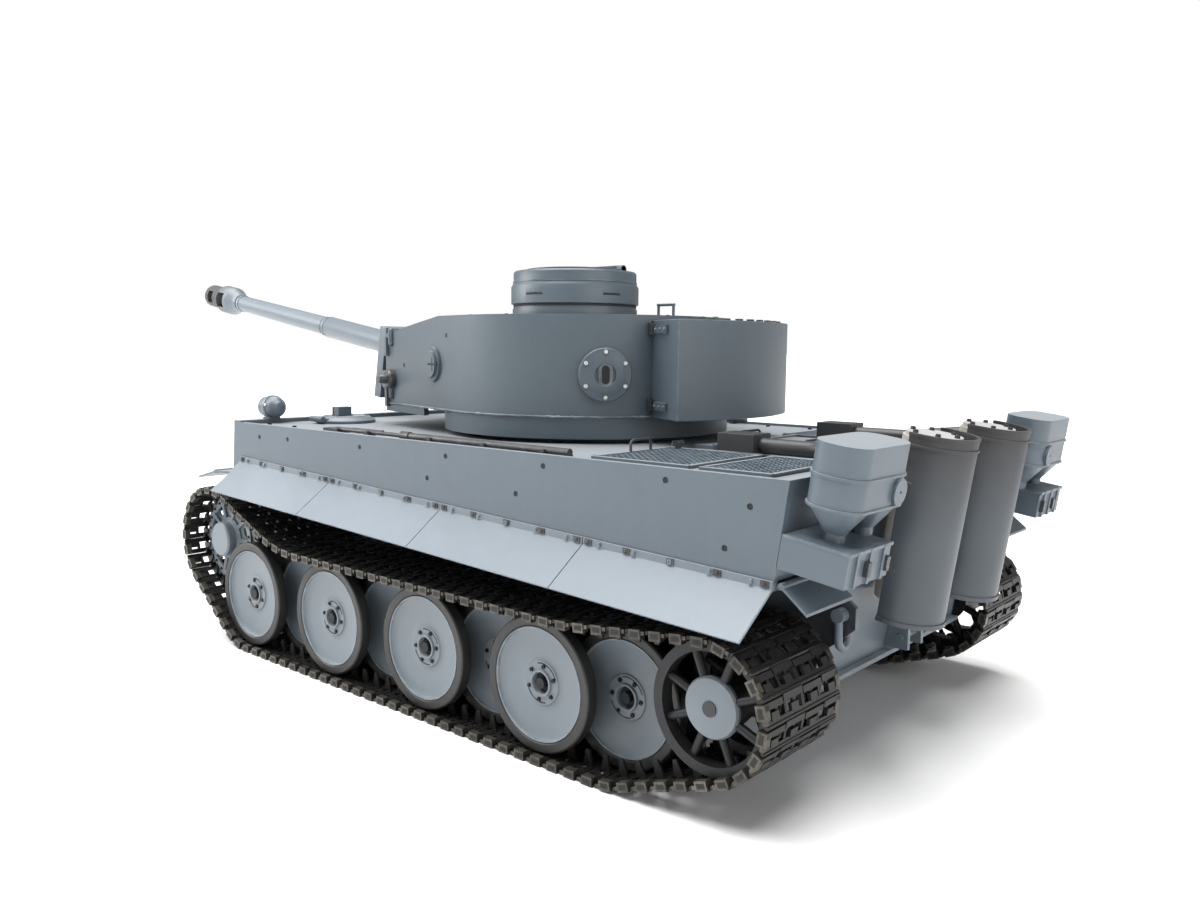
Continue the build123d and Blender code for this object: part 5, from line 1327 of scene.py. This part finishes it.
    def roof_bits(self):
        """Green rod with its knobs, roof screws and the small clips along the bin."""
        bits = Shape()
        top = corners("turret_bin")[1].z
        bits.rod((-78.0, -6.0, top + 1.3), (-62.0, 24.0, top + 1.3), 0.8, PAINTS["green"], 12)
        for point in ((-78.0, -6.0, top + 1.3), (-62.0, 24.0, top + 1.3), (-70.0, 9.0, top + 1.3)):
            bits.turned((point[0], point[1], top), [(0, 0), (1.5, 0), (1.5, 2.0), (0.9, 2.4), (0, 2.4)],
                        (0, 0, 1),
                        PAINTS["green"], 14)
        for step in range(9):
            angle = radians(160 + 5 * step)
            spot = Vector((TURRET_X + 90.0 * cos(angle), 90.0 * sin(angle), top))
            bits.at = Matrix.Translation(spot) @ Matrix.Rotation(angle, 4, "Z")
            bits.block((-1.0, -1.4, 0.0), (1.0, 1.4, 0.8), PAINTS["steel"])
        bits.at = Matrix.Identity(4)
        make("turret_roof_fittings", bits, "turret", "tool_metal", bevel=0.1)
        screw = Shape()
        screw.turned((0, 0, -0.1), [(0, 0), (0.8, 0), (0.8, 0.35), (0.6, 0.55), (0, 0.55)], (0, 0, 1),
                     PAINTS["black"], 10)
        spots, ring = [], 61.0
        for step in range(16):
            angle = radians(22.5 * step + 8)
            place = Vector((TURRET_X + ring * cos(angle), ring * sin(angle), TURRET_TOP))
            if place.x < ROOF_BEND_X and hypot(place.x - CUPOLA[0], place.y - CUPOLA[1]) > CUPOLA_R + 1:
                spots.append((place, (0, 0, 1), None))
        set_out("turret_roof_screws", spots, template("roof screw", screw), PAINTS["black"], "turret",
                "screw_steel")


# ---- Gun details --------------------------------------------------------------------------------------


class TANK_OT_gun(bpy.types.Operator):
    """Barrel rings, painted shade in two grooves and the brake's bore, and the mantlet's trim"""

    bl_idname = "tank.gun"
    bl_label = "Gun details"

    def execute(self, context):
        place = gun_frame()
        rings = Shape()
        rings.at = place
        # The near-black rings are painted shade in two grooves; the disc at 240 mm is painted shade in the
        # brake's bore.
        for start, radius, finish, length in (
                (127.2, 6.32, "pit", 0.5), (228.0, 5.45, "barrel edge", 2.2), (62.4, 6.9, "pit", 0.6),
                (131.5, 5.75, "barrel edge", 0.8)):
            rings.turned((start, 0, 0),
                         [(radius - 0.7, 0), (radius, 0.1), (radius, length - 0.1), (radius - 0.7, length)],
                         (1, 0, 0), PAINTS[finish], 40)
        rings.turned((267.6, 0, 0), [(2.8, 0), (6.4, 0), (6.4, 0.86), (6.0, 0.88), (2.8, 0.88)], (1, 0, 0),
                     PAINTS["black"], 40)
        rings.turned((240.0, 0, 0), [(0, 0), (2.7, 0), (2.7, 1), (0, 1)], (1, 0, 0), PAINTS["pit"], 20)
        rings.at = Matrix.Identity(4)
        make("barrel_rings", rings, "barrel", "barrel_paint")
        trim = Shape()
        trim.at = place
        for y, z in ((27.0, 4.0), (-26.0, 2.0)):
            trim.turned((24.0, y, z),
                        [(2.1, -0.1), (3.4, -0.1), (3.4, 0.7), (3.0, 1.0), (2.4, 1.0), (2.1, 0.7)], (1, 0, 0),
                        PAINTS["barrel edge"], 28)
        # a near-black strip of painted shade across the mantlet
        trim.block((19.3, -41.6, 12.4), (23.8, 41.6, 12.6), PAINTS["pit"])
        trim.at = Matrix.Identity(4)
        make("mantlet_trim", trim, BODY["mantlet"], "barrel_paint")
        return {"FINISHED"}


# ---- Deck details ---------------------------------------------------------------------------------------


class TANK_OT_deck(bpy.types.Operator):
    """Screens, hatch trim, loop handles and the lamp's trim"""

    bl_idname = "tank.deck"
    bl_label = "Deck details"

    def execute(self, context):
        self.screens()
        self.lamp()
        self.handles()
        self.hatches()
        return {"FINISHED"}

    def screens(self):
        """Wire screens over the four deck grilles with their frames."""
        for side, sign in SIDES:
            for label, x, length, count in (("front", -112.0, 39.0, 14), ("rear", -151.0, 24.0, 9)):
                name = f"{side}_{label}_screen"
                y, width = sign * 66.0, 43.0
                mesh = grow(name, path_mesh(name, [(0, 0, 0), (1, 0, 0)]), TREES["screen"],
                            Length=length * MM,
                            Width=width * MM, Wire=0.9 * MM, Finish=PAINTS["hull edge"],
                            **{"Length count": count, "Width count": 16})
                mesh.transform(Matrix.Translation(Vector((x, y, ROOF_Z + 0.45)) * MM))
                smooth(mesh, 30.0)
                mount(new_object(name, mesh), "hull", "hull_paint")
                rim = Shape()
                x0, x1 = x - length / 2 - 1.6, x + length / 2 + 1.6
                y0, y1 = y - width / 2 - 1.6, y + width / 2 + 1.6
                z0, z1 = ROOF_Z + 0.02, ROOF_Z + 1.3
                rim.block((x0, y0, z0), (x1, y0 + 1.5, z1), PAINTS["hull"])
                rim.block((x0, y1 - 1.5, z0), (x1, y1, z1), PAINTS["hull"])
                rim.block((x0, y0 + 1.5, z0), (x0 + 1.5, y1 - 1.5, z1), PAINTS["hull"])
                rim.block((x1 - 1.5, y0 + 1.5, z0), (x1, y1 - 1.5, z1), PAINTS["hull"])
                make(name + "_frame", rim, "hull", "hull_paint", bevel=0.2)

    def lamp(self):
        """Seam ring, ribbed front and screw of the headlamp."""
        spot = Vector(LAMP)
        lamp = Shape()
        lamp.turned(spot, [(5.2, -1.0), (5.95, -0.9), (6.0, 0.0), (5.95, 1.3), (5.2, 1.4)], (1, 0, 0),
                    PAINTS["hull edge"],
                    40)
        for rib in range(7):
            z = -3.6 + 1.2 * rib
            reach = sqrt(max(0.1, 4.9 ** 2 - z ** 2))
            lamp.block((spot.x + 4.6, spot.y - reach, spot.z + z - 0.22),
                       (spot.x + 6.3, spot.y + reach, spot.z + z + 0.22),
                       PAINTS["lens"])
        lamp.turned((spot.x - 1.6, spot.y + 4.9, spot.z + 1.2), [(0, 0), (0.7, 0), (0.7, 0.7), (0, 0.9)],
                    (0, 1, 0.2),
                    PAINTS["bright"], 10)
        make("headlamp_trim", lamp, "hull", "hull_paint")

    def handles(self):
        """Bent wire handles on the engine deck and the wing nut."""
        wires = Shape()
        top = ROOF_Z + 1.6
        for x, y, reach in ((-100.0, 0.0, 9.0), (-140.0, 18.0, 7.0), (-140.0, -18.0, 7.0),
                            (-92.0, 62.0, 6.0)):
            wires.tube([(x, y - reach, top - 0.6), (x, y - reach, top + 2.6), (x, y - reach + 0.5, top + 3.4),
                        (x, y - reach + 1.4, top + 3.9), (x, y + reach - 1.4, top + 3.9),
                        (x, y + reach - 0.5, top + 3.4),
                        (x, y + reach, top + 2.6), (x, y + reach, top - 0.6)], 0.55, PAINTS["steel"], 8)
        spot = (-96.0, 44.0, ROOF_Z)
        wires.turned(spot, [(0, 0), (2.4, 0), (2.4, 0.8), (1.2, 1.2), (1.2, 3.6), (0, 3.8)], (0, 0, 1),
                     PAINTS["steel"], 18)
        wires.block((spot[0] - 0.5, spot[1] - 4.0, ROOF_Z + 2.2),
                    (spot[0] + 0.5, spot[1] + 4.0, ROOF_Z + 4.2),
                    PAINTS["steel"], 0.4)
        make("deck_handles", wires, "hull", "tool_metal")

    def hatches(self):
        """Rim rings and periscope glass of the two hull hatches."""
        for label, sign in (("driver", 1), ("radio", -1)):
            trim = Shape()
            low, high = corners(f"{label}_hatch")
            radius = (high.x - low.x) / 2
            x, y = (low.x + high.x) / 2, (low.y + radius if sign > 0 else high.y - radius)
            z = ROOF_Z + 3.2
            trim.turned((x, y, z), [(radius - 4.6, -0.1), (radius - 3.9, -0.1), (radius - 4.0, 0.3),
                                    (radius - 4.5, 0.3)],
                        (0, 0, 1), PAINTS["hull edge"], 56)
            trim.block((x + 5.0, y - 4.2, z + 0.2), (x + 5.7, y + 4.2, z + 4.4), PAINTS["pit"])
            trim.block((x + 0.2, y - 4.6, z - 0.1), (x + 5.8, y + 4.6, z + 0.5), PAINTS["steel"])
            make(f"{label}_hatch_trim", trim, BODY[f"{label}_hatch"], "hull_paint")


# ---- Rear details -----------------------------------------------------------------------------------------


class TANK_OT_rear(bpy.types.Operator):
    """Silencer bolts, box latches, ducts, skirt tabs and painted shade over the holes of the side screws"""

    bl_idname = "tank.rear"
    bl_label = "Rear and side details"

    def execute(self, context):
        self.muffler_bolts()
        self.filters()
        self.skirt_bolts()
        self.screw_hole_shade_discs()
        return {"FINISHED"}

    def muffler_bolts(self):
        """Dark bolts on the silencer caps."""
        place = rear_frame()
        up = (place.to_3x3() @ Vector((0, 1, 0))).normalized()
        bolt = Shape()
        bolt.turned((0, 0, -0.3), [(0, 0), (1.0, 0), (1.0, 0.8), (0.8, 1.1), (0, 1.1)], (0, 0, 1),
                    PAINTS["black"], 6)
        spots, can_y, lid_up, can_out, ring = [], 25.7, 12.4, 11.7, 7.8
        for sign in (-1, 1):
            for step in range(6):
                angle = radians(60 * step + 30)
                point = Vector((sign * can_y + ring * cos(angle), lid_up, can_out + ring * sin(angle)))
                spots.append((place @ point, up, None))
        set_out("silencer_cap_bolts", spots, template("cap bolt", bolt), PAINTS["black"], "hull",
                "screw_steel")

    def filters(self):
        """Latches and straps of the boxes, with the pale duct elbows."""
        place = rear_frame()
        trim = Shape()
        for sign in (-1, 1):
            trim.at = place
            for x in (sign * 74.0, sign * 86.5):
                trim.block((x - 1.1, -24.5, 22.3), (x + 1.1, -20.0, 23.9), PAINTS["steel"])
            trim.block((sign * 84.25 - 13.9, -17.2, 0.4), (sign * 84.25 + 13.9, -16.1, 22.9),
                       PAINTS["hull edge"])
            trim.tube([(sign * 60.0, 6.0, 10.0), (sign * 57.0, 5.6, 10.5), (sign * 54.5, 4.0, 10.5),
                       (sign * 53.4, 0.5, 9.5), (sign * 53.2, -4.5, 6.0), (sign * 53.2, -6.0, 1.0)], 2.6,
                      PAINTS["elbow"], 14)
            trim.turned((sign * 53.0, -12.0, 0.3), [(0, 0), (3.6, 0), (2.4, 5.0), (1.4, 6.2), (0, 6.4)],
                        (0, 0, 1),
                        PAINTS["elbow"], 24)
        trim.at = Matrix.Identity(4)
        make("rear_plate_fittings", trim, "hull", "hull_paint", bevel=0.12)

    def skirt_bolts(self):
        """Small dark tabs along the skirts' bolt flange."""
        tab = Shape()
        tab.block((-1.5, -1.0, -0.2), (1.5, 1.0, 0.35), PAINTS["steel"])
        tab.turned((0, 0, 0.3), [(0, 0), (0.75, 0), (0.7, 0.35), (0.4, 0.55), (0, 0.6)], (0, 0, 1),
                   PAINTS["steel"], 8)
        piece = template("flange tab", tab)
        spots = []
        front_x, rear_x, panels = 131.6, -172.0, 4
        step = (front_x - rear_x) / panels
        for sign in (-1, 1):
            for panel in range(panels):
                for share in (0.035, 0.26, 0.5, 0.74, 0.965):
                    x = rear_x + step * (panel + share)
                    spots.append(((x, sign * (HULL_HALF + 0.95), side_low(x) - 1.1), (0, sign, 0),
                                  (1, 0, 0.046)))
        set_out("skirt_flange_tabs", spots, piece, PAINTS["steel"], "hull", "screw_steel")

    def screw_hole_shade_discs(self):
        """Painted shade: near-black discs over the side plates' screws, standing in for their countersunk
        holes.
        """
        places = [(114.4, 103.0), (89.9, 103.5), (33.7, 103.9), (-22.7, 104.4), (-11.3, 94.7), (-76.0, 105.0),
                  (-62.0, 93.5), (-130.9, 105.1), (-162.9, 100.0), (-154.1, 86.0)]
        pit = Shape()
        pit.turned((0, 0, -0.6), [(0, 0), (1.05, 0), (1.05, 0.45), (0, 0.45)], (0, 0, 1), PAINTS["pit"], 16)
        spots = [((x, sign * HULL_HALF, z), (0, sign, 0), None) for x, z in places for sign in (-1, 1)]
        set_out("side_screw_pits", spots, template("screw pit", pit), PAINTS["pit"], "hull", "screw_steel")


# ---- Stage ------------------------------------------------------------------------------------------------


class TANK_OT_stage(bpy.types.Operator):
    """Pale floor, soft lights and the camera"""

    bl_idname = "tank.stage"
    bl_label = "Stage"

    def execute(self, context):
        sizes = context.scene.tank_stage
        mesh = bpy.data.meshes.new("floor")
        half = 30.0
        mesh.from_pydata([(-half, -half, 0), (half, -half, 0), (half, half, 0), (-half, half, 0)], [],
                         [(0, 1, 2, 3)])
        mesh.materials.append(dust_floor("pale floor"))
        floor = new_object("floor", mesh)
        for name, strength, towards, angle in (("back light", sizes.back, (-1.0, 0.10, 0.30), 50.0),
                                               ("top light", sizes.top, (0.12, 0.14, 1.0), 60.0)):
            sun = bpy.data.lights.new(name, "SUN")
            sun.energy = strength
            sun.angle = radians(angle)
            self.hang(context, name, sun, Vector(towards))
        key = bpy.data.lights.new("key light", "AREA")
        key.energy = sizes.key
        key.size = sizes.key_width
        self.hang(context, "key light", key, Vector(sizes.key_place)).location = sizes.key_place
        self.sky(context, sizes)
        self.camera(context, sizes)
        return {"FINISHED"}

    def hang(self, context, name, light, towards):
        """A lamp that shines from this direction on the tank."""
        lamp = bpy.data.objects.new(name, light)
        lamp.rotation_mode = "QUATERNION"
        lamp.rotation_quaternion = towards.to_track_quat("Z", "Y")
        context.scene.collection.objects.link(lamp)
        return lamp

    def sky(self, context, sizes):
        """A white surround that lights the tank only softly."""
        world = bpy.data.worlds.new("surround")
        world.use_nodes = True
        sky = Graph(world.node_tree)
        sky.tree.nodes.clear()
        seen = sky.node("ShaderNodeLightPath")
        shiny = sky.node("ShaderNodeLightPath", out="Is Glossy Ray")
        level = seen * (1.0 - sizes.fill) + shiny * (sizes.sheen - sizes.fill) + sizes.fill
        light = sky.node("ShaderNodeBackground", None, {"Color": (1.0, 1.0, 1.0, 1.0), "Strength": level})
        sky.node("ShaderNodeOutputWorld", None, {"Surface": light})
        context.scene.world = world

    def camera(self, context, sizes):
        """The camera at its place, aimed by heading, pitch and roll."""
        lens = bpy.data.cameras.new("camera")
        lens.sensor_width = 36.0
        lens.lens = sizes.lens
        lens.clip_start = 0.01
        camera = bpy.data.objects.new("camera", lens)
        ahead = Vector((cos(sizes.heading) * cos(sizes.pitch), sin(sizes.heading) * cos(sizes.pitch),
                        sin(sizes.pitch)))
        right = ahead.cross(Vector((0, 0, 1))).normalized()
        up = right.cross(ahead)
        across = right * cos(sizes.roll) + up * sin(sizes.roll)
        above = up * cos(sizes.roll) - right * sin(sizes.roll)
        turn = Matrix((across, above, -ahead)).transposed()
        camera.matrix_world = Matrix.Translation(sizes.eye) @ turn.to_4x4()
        context.scene.collection.objects.link(camera)
        context.scene.camera = camera
        context.scene.view_settings.view_transform = "Standard"


class TANK_PT_panel(bpy.types.Panel):
    bl_idname = "TANK_PT_panel"
    bl_label = "Tank"
    bl_space_type = "VIEW_3D"
    bl_region_type = "UI"
    bl_category = "Tank"

    def draw(self, context):
        for operator in OPERATORS:
            self.layout.operator(operator.bl_idname)


GROUPS = (("tank_colours", TankColours), ("tank_track", TrackSizes), ("tank_wheel", WheelSizes),
          ("tank_stage", StageSizes))
OPERATORS = (TANK_OT_stage, TANK_OT_finishes, TANK_OT_plates, TANK_OT_tracks, TANK_OT_wheels, TANK_OT_drive,
             TANK_OT_turret, TANK_OT_gun, TANK_OT_deck, TANK_OT_rear)


def register():
    for name, group in GROUPS:
        bpy.utils.register_class(group)
        setattr(bpy.types.Scene, name, bpy.props.PointerProperty(type=group))
    for kind in OPERATORS + (TANK_PT_panel,):
        bpy.utils.register_class(kind)


def unregister():
    for kind in reversed(OPERATORS + (TANK_PT_panel,)):
        bpy.utils.unregister_class(kind)
    for name, group in reversed(GROUPS):
        delattr(bpy.types.Scene, name)
        bpy.utils.unregister_class(group)


def main():
    register()
    for operator in OPERATORS:
        group, call = operator.bl_idname.split(".")
        getattr(getattr(bpy.ops, group), call)()


if __name__ == "__main__":
    main()
